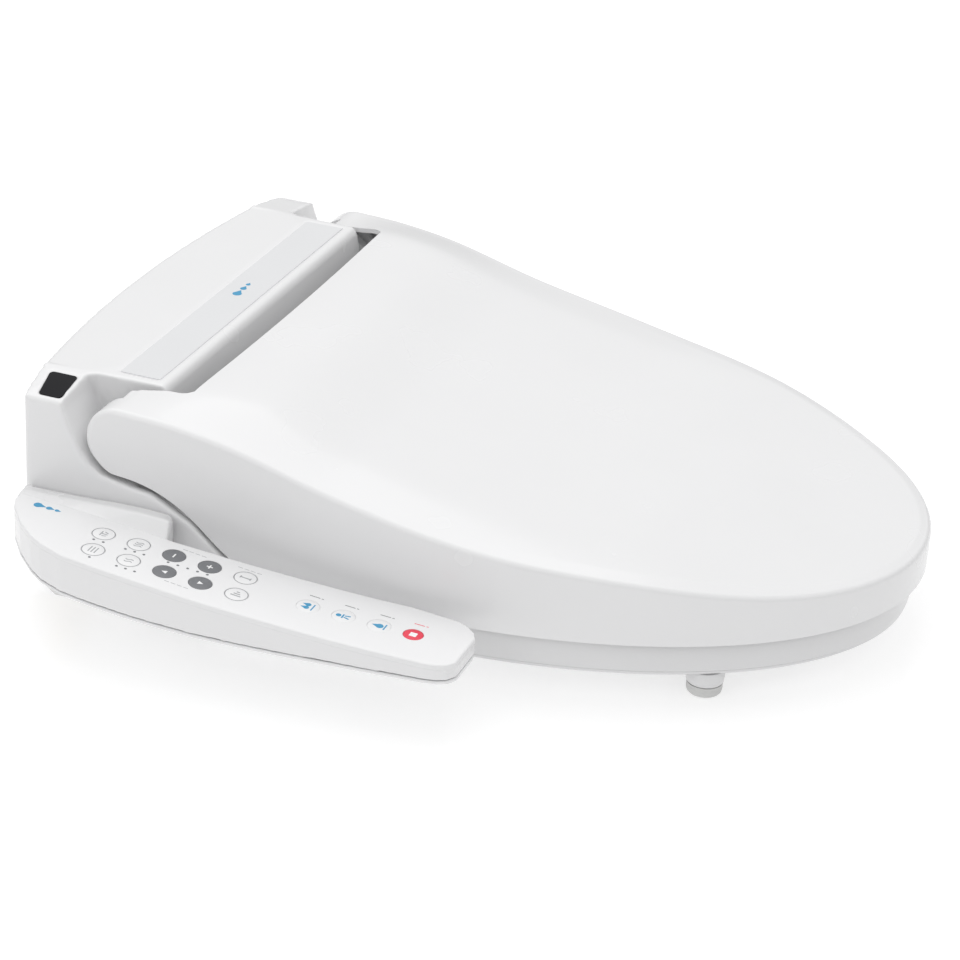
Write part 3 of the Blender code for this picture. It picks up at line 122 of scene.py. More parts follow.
def make_camera():
    azimuth, elevation, roll = (math.radians(turn) for turn in (-70.62, 26.62, 3.43))
    back = Vector((math.sin(azimuth) * math.cos(elevation), -math.cos(azimuth) * math.cos(elevation),
                   math.sin(elevation)))
    level = Vector((math.cos(azimuth), math.sin(azimuth), 0.0))
    upright = back.cross(level)
    right = level * math.cos(roll) + upright * math.sin(roll)
    up = upright * math.cos(roll) - level * math.sin(roll)
    data = bpy.data.cameras.new("camera")
    data.lens = 108.03
    data.clip_end = 50.0
    camera = bpy.data.objects.new("camera", data)
    bpy.context.scene.collection.objects.link(camera)
    turn = Matrix((right, up, back)).transposed().to_4x4()
    camera.matrix_world = Matrix.Translation(Vector((-0.02749, -0.19334, 0.05697)) + back * 1.79446) @ turn
    bpy.context.scene.camera = camera


def area_light(name, place, target, size, power):
    data = bpy.data.lights.new(name, "AREA")
    data.shape = "RECTANGLE"
    data.size, data.size_y = size
    data.energy = power
    light = bpy.data.objects.new(name, data)
    bpy.context.scene.collection.objects.link(light)
    light.location = place
    light.rotation_euler = (Vector(target) - Vector(place)).to_track_quat("-Z", "Y").to_euler()


def make_studio():
    """A white sweep under a broad soft light and a weaker one from the side, in a dimmer room."""
    scene = bpy.context.scene
    scene.view_settings.view_transform = "Standard"
    world = bpy.data.worlds.new("studio")
    scene.world = world
    world.use_nodes = True
    tree = world.node_tree
    nodes, links = tree.nodes, tree.links
    background = nodes["Background"]
    background.inputs["Strength"].default_value = 1.0
    place = nodes.new("ShaderNodeTexCoord")
    split = nodes.new("ShaderNodeSeparateXYZ")
    shade = nodes.new("ShaderNodeValToRGB")
    shade.color_ramp.elements[0].position = 0.0
    shade.color_ramp.elements[0].color = (0.17, 0.17, 0.175, 1)
    shade.color_ramp.elements[1].position = 0.65
    shade.color_ramp.elements[1].color = (1.0, 1.0, 1.0, 1)
    links.new(place.outputs["Generated"], split.inputs["Vector"])
    links.new(split.outputs["Z"], shade.inputs["Fac"])
    path = nodes.new("ShaderNodeLightPath")
    backdrop = nodes.new("ShaderNodeMix")
    backdrop.data_type = "RGBA"
    tint = {socket.name: socket for socket in backdrop.inputs if socket.type == "RGBA"}
    tint["B"].default_value = (1.0, 1.0, 1.0, 1)
    links.new(path.outputs["Is Camera Ray"], backdrop.inputs[0])
    links.new(shade.outputs["Color"], tint["A"])
    shown = next(socket for socket in backdrop.outputs if socket.type == "RGBA")
    links.new(shown, background.inputs["Color"])
    area_light("overhead", (0.5, 0.3, 2.2), (0, -0.15, 0), (2.4, 2.4), 15.5)
    area_light("side", (-2.4, 0.9, 1.3), (-0.2, -0.1, 0.05), (1.6, 1.2), 6.0)
    mesh = bpy.data.meshes.new("floor")
    mesh.from_pydata([(-12, -12, 0), (12, -12, 0), (12, 12, 0), (-12, 12, 0)], [], [(0, 1, 2, 3)])
    floor = bpy.data.objects.new("floor", mesh)
    scene.collection.objects.link(floor)
    floor.location.z = -0.0006
    white = surface("floor_white", (0.50, 0.50, 0.50), 0.30, speckle=0.01, grain=40.0)
    glow = white.node_tree.nodes["Principled BSDF"]
    glow.inputs["Emission Color"].default_value = (1, 1, 1, 1)
    glow.inputs["Emission Strength"].default_value = 0.55
    floor.data.materials.append(white)


# ---------------------------------------------------------------- materials

def surface(name, colour, roughness, metallic=0.0, speckle=0.015, grain=900.0, bump=0.02, coat=0.0,
            smudge=0.05, specular=0.5):
    """A moulded or metal finish: fine grain in the bump, slow changes in tone and in gloss."""
    material = bpy.data.materials.new(name)
    material.use_nodes = True
    nodes, links = material.node_tree.nodes, material.node_tree.links
    shader = nodes["Principled BSDF"]
    shader.inputs["Metallic"].default_value = metallic
    shader.inputs["Coat Weight"].default_value = coat
    shader.inputs["Coat Roughness"].default_value = 0.06
    shader.inputs["Specular IOR Level"].default_value = specular
    place = nodes.new("ShaderNodeTexCoord")
    slow = nodes.new("ShaderNodeTexNoise")
    slow.inputs["Scale"].default_value = 14.0
    slow.inputs["Detail"].default_value = 3.0
    fine = nodes.new("ShaderNodeTexNoise")
    fine.inputs["Scale"].default_value = grain
    fine.inputs["Detail"].default_value = 2.0
    for texture in (slow, fine):
        links.new(place.outputs["Object"], texture.inputs["Vector"])
    tone = nodes.new("ShaderNodeMapRange")
    tone.inputs["To Min"].default_value = 1.0 - speckle
    tone.inputs["To Max"].default_value = 1.0 + speckle
    links.new(slow.outputs["Fac"], tone.inputs["Value"])
    tint = nodes.new("ShaderNodeVectorMath")
    tint.operation = "SCALE"
    tint.inputs[0].default_value = colour
    links.new(tone.outputs["Result"], tint.inputs["Scale"])
    links.new(tint.outputs["Vector"], shader.inputs["Base Color"])
    gloss = nodes.new("ShaderNodeMapRange")
    gloss.inputs["To Min"].default_value = max(roughness - smudge, 0.02)
    gloss.inputs["To Max"].default_value = min(roughness + smudge, 1.0)
    links.new(slow.outputs["Fac"], gloss.inputs["Value"])
    links.new(gloss.outputs["Result"], shader.inputs["Roughness"])
    relief = nodes.new("ShaderNodeBump")
    relief.inputs["Strength"].default_value = bump
    relief.inputs["Distance"].default_value = 0.0002
    links.new(fine.outputs["Fac"], relief.inputs["Height"])
    links.new(relief.outputs["Normal"], shader.inputs["Normal"])
    return material


def brushed(name, colour, roughness):
    """Drawn metal, with fine lines along one way."""
    material = surface(name, colour, roughness, metallic=1.0, grain=300.0, bump=0.15)
    nodes, links = material.node_tree.nodes, material.node_tree.links
    place = next(node for node in nodes if node.type == "TEX_COORD")
    stretch = nodes.new("ShaderNodeMapping")
    stretch.inputs["Scale"].default_value = (0.05, 1.0, 1.0)
    links.new(place.outputs["Object"], stretch.inputs["Vector"])
    fine = [node for node in nodes if node.type == "TEX_NOISE"][1]
    links.new(stretch.outputs["Vector"], fine.inputs["Vector"])
    return material


def circuit(name):
    """Green solder mask with pale tracks and small pads."""
    material = surface(name, (0.02, 0.17, 0.07), 0.4, grain=500.0)
    nodes, links = material.node_tree.nodes, material.node_tree.links
    shader = nodes["Principled BSDF"]
    place = next(node for node in nodes if node.type == "TEX_COORD")
    tracks = nodes.new("ShaderNodeTexBrick")
    tracks.inputs["Scale"].default_value = 160.0
    tracks.inputs["Mortar Size"].default_value = 0.04
    tracks.inputs["Color1"].default_value = (0.02, 0.17, 0.07, 1)
    tracks.inputs["Color2"].default_value = (0.03, 0.22, 0.10, 1)
    tracks.inputs["Mortar"].default_value = (0.10, 0.34, 0.14, 1)
    links.new(place.outputs["Object"], tracks.inputs["Vector"])
    links.new(tracks.outputs["Color"], shader.inputs["Base Color"])
    return material


def make_materials():
    return {
        "white": surface("gloss_white", (0.79, 0.79, 0.795), 0.26, coat=0.2),
        # The seat's base colour is gloss_white made darker: painted shade standing for the lid's shade over
        # the seat and its feet, the plastic itself being the same white.
        "seat_white_painted_shade": surface("seat_white_painted_shade", (0.74, 0.74, 0.745), 0.30, coat=0.2),
        "inlay": surface("inlay_grey", (0.715, 0.72, 0.73), 0.32, speckle=0.02, coat=0.1),
        "smoked": surface("smoked_window", (0.007, 0.007, 0.009), 0.10, bump=0.0, specular=0.10),
        "film": surface("panel_film", (0.80, 0.80, 0.805), 0.36, bump=0.03),
        "key_white": surface("key_white", (0.81, 0.81, 0.815), 0.38),
        "key_grey": surface("key_grey", (0.165, 0.17, 0.18), 0.38, speckle=0.03),
        "key_red": surface("key_red", (0.78, 0.035, 0.075), 0.36, speckle=0.03),
        "ring": surface("ring_grey", (0.36, 0.37, 0.38), 0.4),
        "blue": surface("mark_blue", (0.045, 0.30, 0.52), 0.4),
        "mark_white": surface("mark_white", (0.88, 0.88, 0.88), 0.4),
        "rubber": surface("soft_rubber", (0.62, 0.62, 0.61), 0.62, grain=500.0, bump=0.12),
        "steel": brushed("drawn_steel", (0.60, 0.61, 0.62), 0.30),
        "brass": brushed("plated_brass", (0.72, 0.62, 0.40), 0.28),
        "inner": surface("grey_moulding", (0.30, 0.31, 0.33), 0.5, grain=600.0, bump=0.08),
        "board": circuit("solder_mask"),
        "foil": brushed("heater_foil", (0.70, 0.70, 0.71), 0.35),
        "nozzle": surface("nozzle_white", (0.80, 0.81, 0.82), 0.22),
    }


# ---------------------------------------------------------------- shape helpers

def smooth_curve(knots):
    """The smooth curve through (position, height) pairs, as a function of position."""
    place, height = np.array(sorted(knots)).T
    slope = np.gradient(height, place)

    def value(position):
        position = float(np.clip(position, place[0], place[-1]))
        i = int(np.clip(np.searchsorted(place, position) - 1, 0, len(place) - 2))
        span = place[i + 1] - place[i]
        s = (position - place[i]) / span
        start = height[i] * (2 * s**3 - 3 * s**2 + 1) + slope[i] * span * (s**3 - 2 * s**2 + s)
        end = height[i + 1] * (3 * s**2 - 2 * s**3) + slope[i + 1] * span * (s**3 - s**2)
        return float(start + end)

    return value


def ramp(value, start, end):
    """0 before start, 1 after end, and a smooth step between them."""
    s = min(max((value - start) / (end - start), 0.0), 1.0)
    return s * s * (3 - 2 * s)


def add_mesh(name, points, faces, material, sharp_angle=40):
    mesh = bpy.data.meshes.new(name)
    mesh.from_pydata([tuple(p) for p in points], [], faces)
    obj = bpy.data.objects.new(name, mesh)
    bpy.context.scene.collection.objects.link(obj)
    work = bmesh.new()
    work.from_mesh(mesh)
    bmesh.ops.remove_doubles(work, verts=work.verts, dist=1e-6)
    bmesh.ops.dissolve_degenerate(work, edges=work.edges, dist=1e-6)
    bmesh.ops.recalc_face_normals(work, faces=work.faces)
    work.to_mesh(mesh)
    work.free()
    mesh.materials.append(material)
    mesh.shade_smooth()
    mesh.set_sharp_from_angle(angle=math.radians(sharp_angle))
    return obj


def add_strip(points, faces, rows):
    """Quads between neighbouring rows of equal length."""
    start = len(points)
    columns = len(rows[0])
    points += [p for row in rows for p in row]
    for r in range(len(rows) - 1):
        for c in range(columns - 1):
            here = start + r * columns + c
            faces.append((here, here + 1, here + columns + 1, here + columns))


def mirror_and_thicken(obj, thickness, mirrored=True):
    if mirrored:
        mirror = obj.modifiers.new("other_half", "MIRROR")
        mirror.use_axis = (True, False, False)
        mirror.merge_threshold = 0.00001
    wall = obj.modifiers.new("wall", "SOLIDIFY")
    wall.thickness = thickness
    wall.offset = -1
    wall.use_even_offset = True


def finer(knots, step):
    """Places along the knots' span, no further apart than step, with every knot kept."""
    places = [knots[0]]
    for before, after in zip(knots, knots[1:]):
        count = max(int(math.ceil(abs(after - before) / step)), 1)
        places += list(np.linspace(before, after, count + 1)[1:])
    return places


def soften(obj, voxel, passes, keep):
    """Rounds every edge of a CAD node: a fine even remesh, a little smoothing, then fewer faces."""
    grid = obj.modifiers.new("even_grid", "REMESH")
    grid.mode = "VOXEL"
    grid.voxel_size = voxel
    grid.use_smooth_shade = True
    relax = obj.modifiers.new("relax", "SMOOTH")
    relax.factor = 0.5
    relax.iterations = passes
    fewer = obj.modifiers.new("fewer_faces", "DECIMATE")
    fewer.ratio = keep


def bevel(obj, width, segments=2, angle=35):
    edge = obj.modifiers.new("soft_edges", "BEVEL")
    edge.width = width
    edge.segments = segments
    edge.limit_method = "ANGLE"
    edge.angle_limit = math.radians(angle)


def settle(obj, sharp_angle=40):
    """Applies the modifiers, then shades the result smooth except across its sharp edges."""
    graph = bpy.context.evaluated_depsgraph_get()
    mesh = bpy.data.meshes.new_from_object(obj.evaluated_get(graph))
    obj.modifiers.clear()
    obj.data = mesh
    mesh.shade_smooth()
    mesh.set_sharp_from_angle(angle=math.radians(sharp_angle))


# ---------------------------------------------------------------- lid

crease_height = smooth_curve(LID_CREASE)
crown_height = smooth_curve(LID_CROWN)
rim_curve = smooth_curve(LID_RIM)
flap_edge = smooth_curve(LID_FLAP_EDGE)


def rim_height(y):
    return rim_curve(y) if y > LID_RIM[0][0] else LID_RIM_Z


def lid_outline(steps, offset=0.0):
    """(x, y, normal x, normal y) down the +X side of the lid, from its straight end to the tip."""
    length = LID_STRAIGHT_END - LID_TIP - offset
    width = LID_HALF_WIDTH - offset
    power = 2 / LID_OUTLINE_POWER
    found = []
    for i in range(steps + 1):
        angle = math.pi / 2 * i / steps
        c, s = math.cos(angle), math.sin(angle)
        x = width * max(c, 0.0) ** power if i < steps else 0.0
        y = LID_STRAIGHT_END - length * s**power
        nx = (x / width) ** (LID_OUTLINE_POWER - 1) / width if x > 0 else 0.0
        ny = -(((LID_STRAIGHT_END - y) / length) ** (LID_OUTLINE_POWER - 1)) / length
        size = math.hypot(nx, ny)
        found.append((x, y, nx / size, ny / size))
    return found


def lid_top(x, y):
    """Height of the lid's top: a flat middle band with a flatter flank down to the crease on each side."""
    inward = (LID_HALF_WIDTH - LID_EDGE_ROUND - abs(x)) / (LID_HALF_WIDTH - LID_EDGE_ROUND - LID_SLOT_HALF)
    flank = (inward + 1 - math.hypot(inward - 1, LID_FLANK_SOFTNESS)) / 2
    return crease_height(y) + crown_height(y) * max(flank, 0.0)


def edge_turns(steps):
    return [math.pi / 2 * i / steps for i in range(steps + 1)]


def lid_row(x, y, nx, ny):
    """One row of the lid's outer skin: up the side from the rim and round the crease."""
    rim = rim_height(y)
    top = crease_height(y)
    foot = HINGE_Z if y > LID_SLOT_Y else (rim + top - LID_EDGE_ROUND) / 2
    low = 0.02 if y <= LID_SLOT_Y else 0.0
    row = [(x, y, rim + (foot - rim) * share) for share in (0.0, low, 0.5 if low else 1.0, 1.0)]
    for turn in edge_turns(8):
        inward = LID_EDGE_ROUND * (1 - math.cos(turn))
        drop = LID_EDGE_ROUND * (1 - math.sin(turn))
        row.append((max(x - nx * inward, 0.0), y - ny * inward, top - drop))
    return row


def towards_spine(edge, spine_y, shares):
    """Points of the lid's top on the straight line from an edge point to the middle line at spine_y."""
    found = []
    for share in shares:
        x = edge[0] * share
        y = edge[1] * share + spine_y * (1 - share)
        near_slot = ramp(spine_y, LID_SLOT_Y - 0.020, LID_SLOT_Y)
        y -= LID_SLOT_BOW * near_slot * max(1 - (x / LID_SLOT_HALF) ** 2, 0.0)
        found.append((x, y, lid_top(x, y)))
    return found


def ear_cap_row(turn, blend):
    """One row round the ear's rounded end, from the fillet (square at the bottom) to the flap's edge."""
    fillet = LID_EDGE_ROUND * (1 - 0.98 * ramp(-turn, math.radians(45), math.radians(88)))
    profile = [(LID_HALF_WIDTH - fillet * (1 - math.cos(roll)), EAR_RADIUS - fillet * (1 - math.sin(roll)))
               for roll in edge_turns(8)]
    start = profile[-1][0]
    profile += [(start + (LID_FLAP_X - start) * b, EAR_RADIUS) for b in blend]
    return [(x, HINGE_Y + r * math.cos(turn), HINGE_Z + r * math.sin(turn)) for x, r in profile]


def make_lid(materials):
    """Rows from the tip back to the ear, then round the ear; the other half is mirrored."""
    near_edge = [0.97, 0.94, 0.915, 0.889, 0.86, 0.83, 0.806]
    shares = near_edge + [0.78, 0.75, 0.72, 0.68, 0.62, 0.55, 0.46, 0.36, 0.24, 0.12, 0.0]
    rows = []
    for station in lid_outline(72)[::-1]:
        row = lid_row(*station)
        bow = (station[1] - LID_STRAIGHT_END) / (LID_TIP - LID_STRAIGHT_END)
        spine_y = LID_STRAIGHT_END + (LID_SPINE_END - LID_STRAIGHT_END) * bow
        rows.append(row + towards_spine(row[-1], spine_y, shares))
    for y in finer([LID_STRAIGHT_END, -0.113, LID_SLOT_Y], 0.0035)[1:]:
        row = lid_row(LID_HALF_WIDTH, y, 1.0, 0.0)
        rows.append(row + towards_spine(row[-1], y, shares))
    blend = [(1 - share) / (1 - near_edge[-1]) for share in near_edge]
    ear_rows = []
    for y in finer([LID_SLOT_Y, LID_FLAP_EDGE[1][0], HINGE_Y], 0.003):
        row = lid_row(LID_HALF_WIDTH, y, 1.0, 0.0)
        start = row[-1][0]
        end = start * near_edge[-1] if y == LID_SLOT_Y else flap_edge(y)
        across = [start + (end - start) * b for b in blend]
        ear_rows.append(row + [(x, y, lid_top(x, y)) for x in across])
    points, faces = [], []
    add_strip(points, faces, rows)
    add_strip(points, faces, ear_rows)
    caps = [ear_cap_row(math.radians(turn), blend) for turn in range(90, -91, -5)]
    caps[0] = ear_rows[-1][4:]
    add_strip(points, faces, caps[:4])
    add_strip(points, faces, [row[:-3] for row in caps[3:31]])
    add_strip(points, faces, [row[:9] for row in caps[30:]])
    centre = (LID_HALF_WIDTH, HINGE_Y, HINGE_Z)
    ends = [row[0] for row in caps] + [(LID_HALF_WIDTH, HINGE_Y, rim_height(HINGE_Y))]
    for before, after in zip(ends, ends[1:]):
        faces.append((len(points), len(points) + 1, len(points) + 2))
        points += [centre, before, after]
    lid = add_mesh("lid_skin", points, faces, materials["white"])
    mirror_and_thicken(lid, LID_WALL)
    settle(lid)
    place_piece(lid, "lid", "white", "lid_shell")
    for word, side in SIDES.items():
        start, thick = LID_WEB
        radius = EAR_RADIUS - 0.0020
        web = turned(f"lid_web_{word}", (side * start, HINGE_Y, HINGE_Z), (side, 0, 0),
                     [(0, radius), (thick, radius)], materials["white"])
        place_piece(web, "lid", "white")


# ---------------------------------------------------------------- seat

seat_top = smooth_curve(SEAT_TOP)
notch_rise = smooth_curve(NOTCH_RISE)


def seat_underside(x, y):
    """How far the seat's lower edge rises over the nozzles, behind the opening."""
    return notch_rise(y) * ramp(-abs(x), -NOTCH_SIDES[0], -NOTCH_SIDES[1]) if y > NOTCH_RISE[0][0] else 0.0


def seat_outer_radius():
    """The seat outline's distance from the opening's centre, as a function of the angle."""
    side = [(x, y) for x, y, _, _ in lid_outline(120, SEAT_INSET)]
    half = side[0][0]
    middle = (half - SEAT_CORNER, SEAT_REAR_Y - SEAT_CORNER)
    corner = [(middle[0] + SEAT_CORNER * math.cos(t), middle[1] + SEAT_CORNER * math.sin(t))
              for t in edge_turns(16)]
    straight = [(half, y) for y in np.linspace(LID_STRAIGHT_END, middle[1], 40)]
    rear = [(x, SEAT_REAR_Y) for x in np.linspace(0, middle[0], 40)]
    right = side + straight + corner + rear
    both = right + [(-x, y) for x, y in right]
    found = sorted((math.atan2(y - OPENING_Y, x) % (2 * math.pi), math.hypot(x, y - OPENING_Y))
                   for x, y in both)
    angles = [found[-1][0] - 2 * math.pi] + [angle for angle, _ in found] + [found[0][0] + 2 * math.pi]
    radii = [found[-1][1]] + [radius for _, radius in found] + [found[0][1]]
    return lambda angle: float(np.interp(angle % (2 * math.pi), angles, radii))


def opening_radius(angle):
    c, s = abs(math.cos(angle)), abs(math.sin(angle))
    return ((c / OPENING_HALF_WIDTH) ** OPENING_POWER + (s / OPENING_HALF_LENGTH) ** OPENING_POWER) ** (
        -1 / OPENING_POWER)


def at_polar(angle, radius):
    return radius * math.cos(angle), OPENING_Y + radius * math.sin(angle)


def ring_mesh(name, sections, closed, material):
    count = len(sections[0])
    points = [p for section in sections for p in section]
    faces = []
    for a in range(len(sections)):
        b = (a + 1) % len(sections)
        for i in range(count if closed else count - 1):
            j = (i + 1) % count
            faces.append((a * count + i, b * count + i, b * count + j, a * count + j))
    return add_mesh(name, points, faces, material)


def make_seat(materials):
    outer = seat_outer_radius()
    steps = 200
    upper, lower = [], []
    for k in range(steps):
        angle = 2 * math.pi * k / steps
        rim, hole = outer(angle), opening_radius(angle)
        wide, deep = SEAT_RIM_ROUND
        profile = [(rim - wide * (1 - math.cos(t)), deep * (1 - math.sin(t))) for t in edge_turns(8)]
        profile += [(rim + (hole - rim) * share, -SEAT_CROWN * math.sin(math.pi * share))
                    for share in (0.3, 0.5, 0.7)]
        wide, deep = SEAT_HOLE_ROUND
        profile += [(hole + wide * (1 - math.cos(t)), deep * (1 - math.sin(t))) for t in edge_turns(8)[::-1]]
        section = [(*at_polar(angle, radius), drop) for radius, drop in profile]
        section = [(x, y, seat_top(y) - drop) for x, y, drop in section]
        feet = [at_polar(angle, radius) for radius in (rim, hole)]
        feet = [(x, y, SEAT_SPLIT_Z + seat_underside(x, y)) for x, y in feet]
        upper.append([feet[0]] + section + [feet[1]])
        ledge, top = SEAT_WALL + 0.001, SEAT_SPLIT_Z - GAP
        section = []
        for edge, inward, height in ((rim, -GAP, top), (rim, -ledge, top), (hole, ledge, top),
                                     (hole, GAP, top), (hole, 0, SEAT_BASE_Z + 0.001),
                                     (hole, 0.001, SEAT_BASE_Z),
                                     (rim, -0.0022, SEAT_BASE_Z), (rim, -0.0004, SEAT_BASE_Z + 0.0014)):
            x, y = at_polar(angle, edge + inward)
            section.append((x, y, height + seat_underside(*at_polar(angle, edge))))
        lower.append(section)
    shell = ring_mesh("seat_upper", upper, False, materials["seat_white_painted_shade"])
    mirror_and_thicken(shell, SEAT_WALL, False)
    settle(shell)
    base = ring_mesh("seat_lower", lower, True, materials["seat_white_painted_shade"])
    place_piece(shell, "seat", "white", "seat_upper_shell")
    place_piece(base, "seat", "white", "seat_lower_shell")
    turns = [math.radians(turn) for turn in range(125, -131, -5)]
    outline = [(HINGE_Y + SEAT_EAR_RADIUS * math.cos(t), HINGE_Z + SEAT_EAR_RADIUS * math.sin(t))
               for t in turns]
    outline += [(-0.062, 0.0620), (-0.075, 0.0640), (-0.075, 0.0810), (-0.062, 0.0930)]
    for word, side in SIDES.items():
        rings = [[(side * x, y, z) for y, z in outline] for x in SEAT_EAR]
        ear = closed_solid(f"seat_ear_{word}", rings, materials["seat_white_painted_shade"])
        bevel(ear, 0.0008)
        place_piece(ear, "seat", "white")


# ---------------------------------------------------------------- small shapes

def closed_solid(name, rings, material, sharp_angle=40):
    """A closed solid through rings of equal length, with both ends capped."""
    count = len(rings[0])
    points = [p for ring in rings for p in ring]
    faces = []
    for start in range(0, (len(rings) - 1) * count, count):
        for i in range(count):
            after = (i + 1) % count
            faces.append((start + i, start + after, start + count + after, start + count + i))
    faces.append(tuple(range(count))[::-1])
    faces.append(tuple(range((len(rings) - 1) * count, len(rings) * count)))
    return add_mesh(name, points, faces, material, sharp_angle)


def turned(name, base, direction, profile, material, sides=64):
    """A solid of revolution: profile holds (distance along direction, radius) pairs."""
    turn = Vector(direction).normalized().to_track_quat("Z", "Y").to_matrix()
    rings = []
    for along, radius in profile:
        spokes = [2 * math.pi * i / sides for i in range(sides)]
        rings.append([Vector(base) + turn @ Vector((radius * math.cos(t), radius * math.sin(t), along))
                      for t in spokes])
    return closed_solid(name, rings, material)


def place_piece(obj, body, slot, *nodes):
    if nodes:
        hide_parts(*nodes)
    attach(obj, body)


COLLAR_PROFILE = [(0, 0.0106), (0.0006, 0.0112), (0.0040, 0.0116), (0.0081, 0.0116), (0.0091, 0.0112)]
PAD_PROFILE = [(0, 0.0086), (0.0004, 0.0096), (0.0012, 0.0103), (0.0026, 0.0107), (0.0040, 0.0108),
               (0.0050, 0.0105), (0.0060, 0.0108), (0.0069, 0.0108)]


def make_feet(materials):
    """Soft bumper pads in collars below the seat, and two small bumpers below the lid."""
    for end, y in (("front", -0.3716), ("rear", -0.120)):
        for word, side in SIDES.items():
            x = side * (0.117 if end == "front" else 0.145)
            collar = turned(f"collar_{end}_{word}", (x, y, 0.0074), UP, COLLAR_PROFILE,
                            materials["seat_white_painted_shade"])
            pad = turned(f"pad_{end}_{word}", (x, y, 0), UP, PAD_PROFILE, materials["rubber"])
            place_piece(collar, "seat", "white", f"foot_collar_{end}_{word}")
            place_piece(pad, "seat", "rubber", f"foot_pad_{end}_{word}")
    for word, side in SIDES.items():
        low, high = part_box(f"lid_bumper_{word}")
        tall = high[2] - low[2]
        bumper = turned(f"bumper_{word}", (side * 0.070, (low[1] + high[1]) / 2, low[2]), UP,
                        [(0, 0.0050), (0.0004, 0.0058), (0.0015, 0.0066), (0.0030, 0.0070), (tall, 0.0070)],
                        materials["rubber"])
        place_piece(bumper, "lid", "rubber", f"lid_bumper_{word}")


# ---------------------------------------------------------------- control arm

panel_height = smooth_curve(ARM_PANEL)


def arm_edge(knots, y):
    places, distances = np.array(knots).T
    return float(np.interp(y, places, distances))


def arm_point(along, across, turn=math.radians(3.1)):
    """A point of the panel, measured from the key field's origin to the tip and to the outer side."""
    row = math.radians(9.5)
    x = -0.2269 + along * math.sin(turn) - across * math.cos(row)
    y = -0.0776 - along * math.cos(turn) - across * math.sin(row)
    return x, y


def panel_frame(x, y):
    """A matrix that lays a flat mark on the panel: its x runs across the arm, its y towards the rear."""
    slope = (panel_height(y + 0.001) - panel_height(y - 0.001)) / 0.002
    return Matrix.Translation((x, y, panel_height(y))) @ Matrix.Rotation(math.atan(slope), 4, "X")


def add_mark(name, outlines, lay, material, body, slot, thick=0.00006):
    """Thin flat shapes, each given as an outline of (x, y) points in the mark's own plane."""
    points, faces = [], []
    for outline in outlines:
        start, count = len(points), len(outline)
        points += [lay @ Vector((x, y, z)) for z in (-0.0003, thick) for x, y in outline]
        faces += [(start + i, start + (i + 1) % count, start + count + (i + 1) % count, start + count + i)
                  for i in range(count)]
        faces.append(tuple(range(start + count, start + 2 * count)))
        faces.append(tuple(range(start, start + count))[::-1])
    mark = add_mesh(name, points, faces, material)
    place_piece(mark, body, slot)
    return mark


def disc_outline(radius, centre=(0.0, 0.0), sides=32):
    return [(centre[0] + radius * math.cos(2 * math.pi * i / sides),
             centre[1] + radius * math.sin(2 * math.pi * i / sides)) for i in range(sides)]


def ring_outlines(outer, inner, sides=48):
    """A ring as a run of small four-sided tiles."""
    found = []
    for i in range(sides):
        a, b = 2 * math.pi * i / sides, 2 * math.pi * (i + 1) / sides
        corners = [(inner, a), (outer, a), (outer, b), (inner, b)]
        found.append([(radius * math.cos(t), radius * math.sin(t)) for radius, t in corners])
    return found


def bar(wide, tall, centre=(0.0, 0.0), turn=0.0):
    corners = [(-wide / 2, -tall / 2), (wide / 2, -tall / 2), (wide / 2, tall / 2), (-wide / 2, tall / 2)]
    c, s = math.cos(turn), math.sin(turn)
    return [(centre[0] + x * c - y * s, centre[1] + x * s + y * c) for x, y in corners]


def wave(length, thick, centre, height=0.0005, steps=14):
    """A standing wavy stroke, as over warm water or a warm seat."""
    def at(share):
        return centre[0] + height * math.sin(2 * math.pi * share), centre[1] + length * (share - 0.5)
    spine = [at(i / steps) for i in range(steps + 1)]
    return [(x - thick / 2, y) for x, y in spine] + [(x + thick / 2, y) for x, y in spine[::-1]]


def droplet(size, centre=(0.0, 0.0), turn=0.0, sides=20):
    """A drop: three quarters of a circle drawn out to a point."""
    found = []
    for i in range(sides + 1):
        angle = math.radians(-50 + 280 * i / sides)
        found.append((size * 0.5 * math.cos(angle), -0.2 * size + size * 0.5 * math.sin(-angle)))
    found.append((0.0, size * 0.85))
    c, s = math.cos(turn), math.sin(turn)
    return [(centre[0] + x * c - y * s, centre[1] + x * s + y * c) for x, y in found]


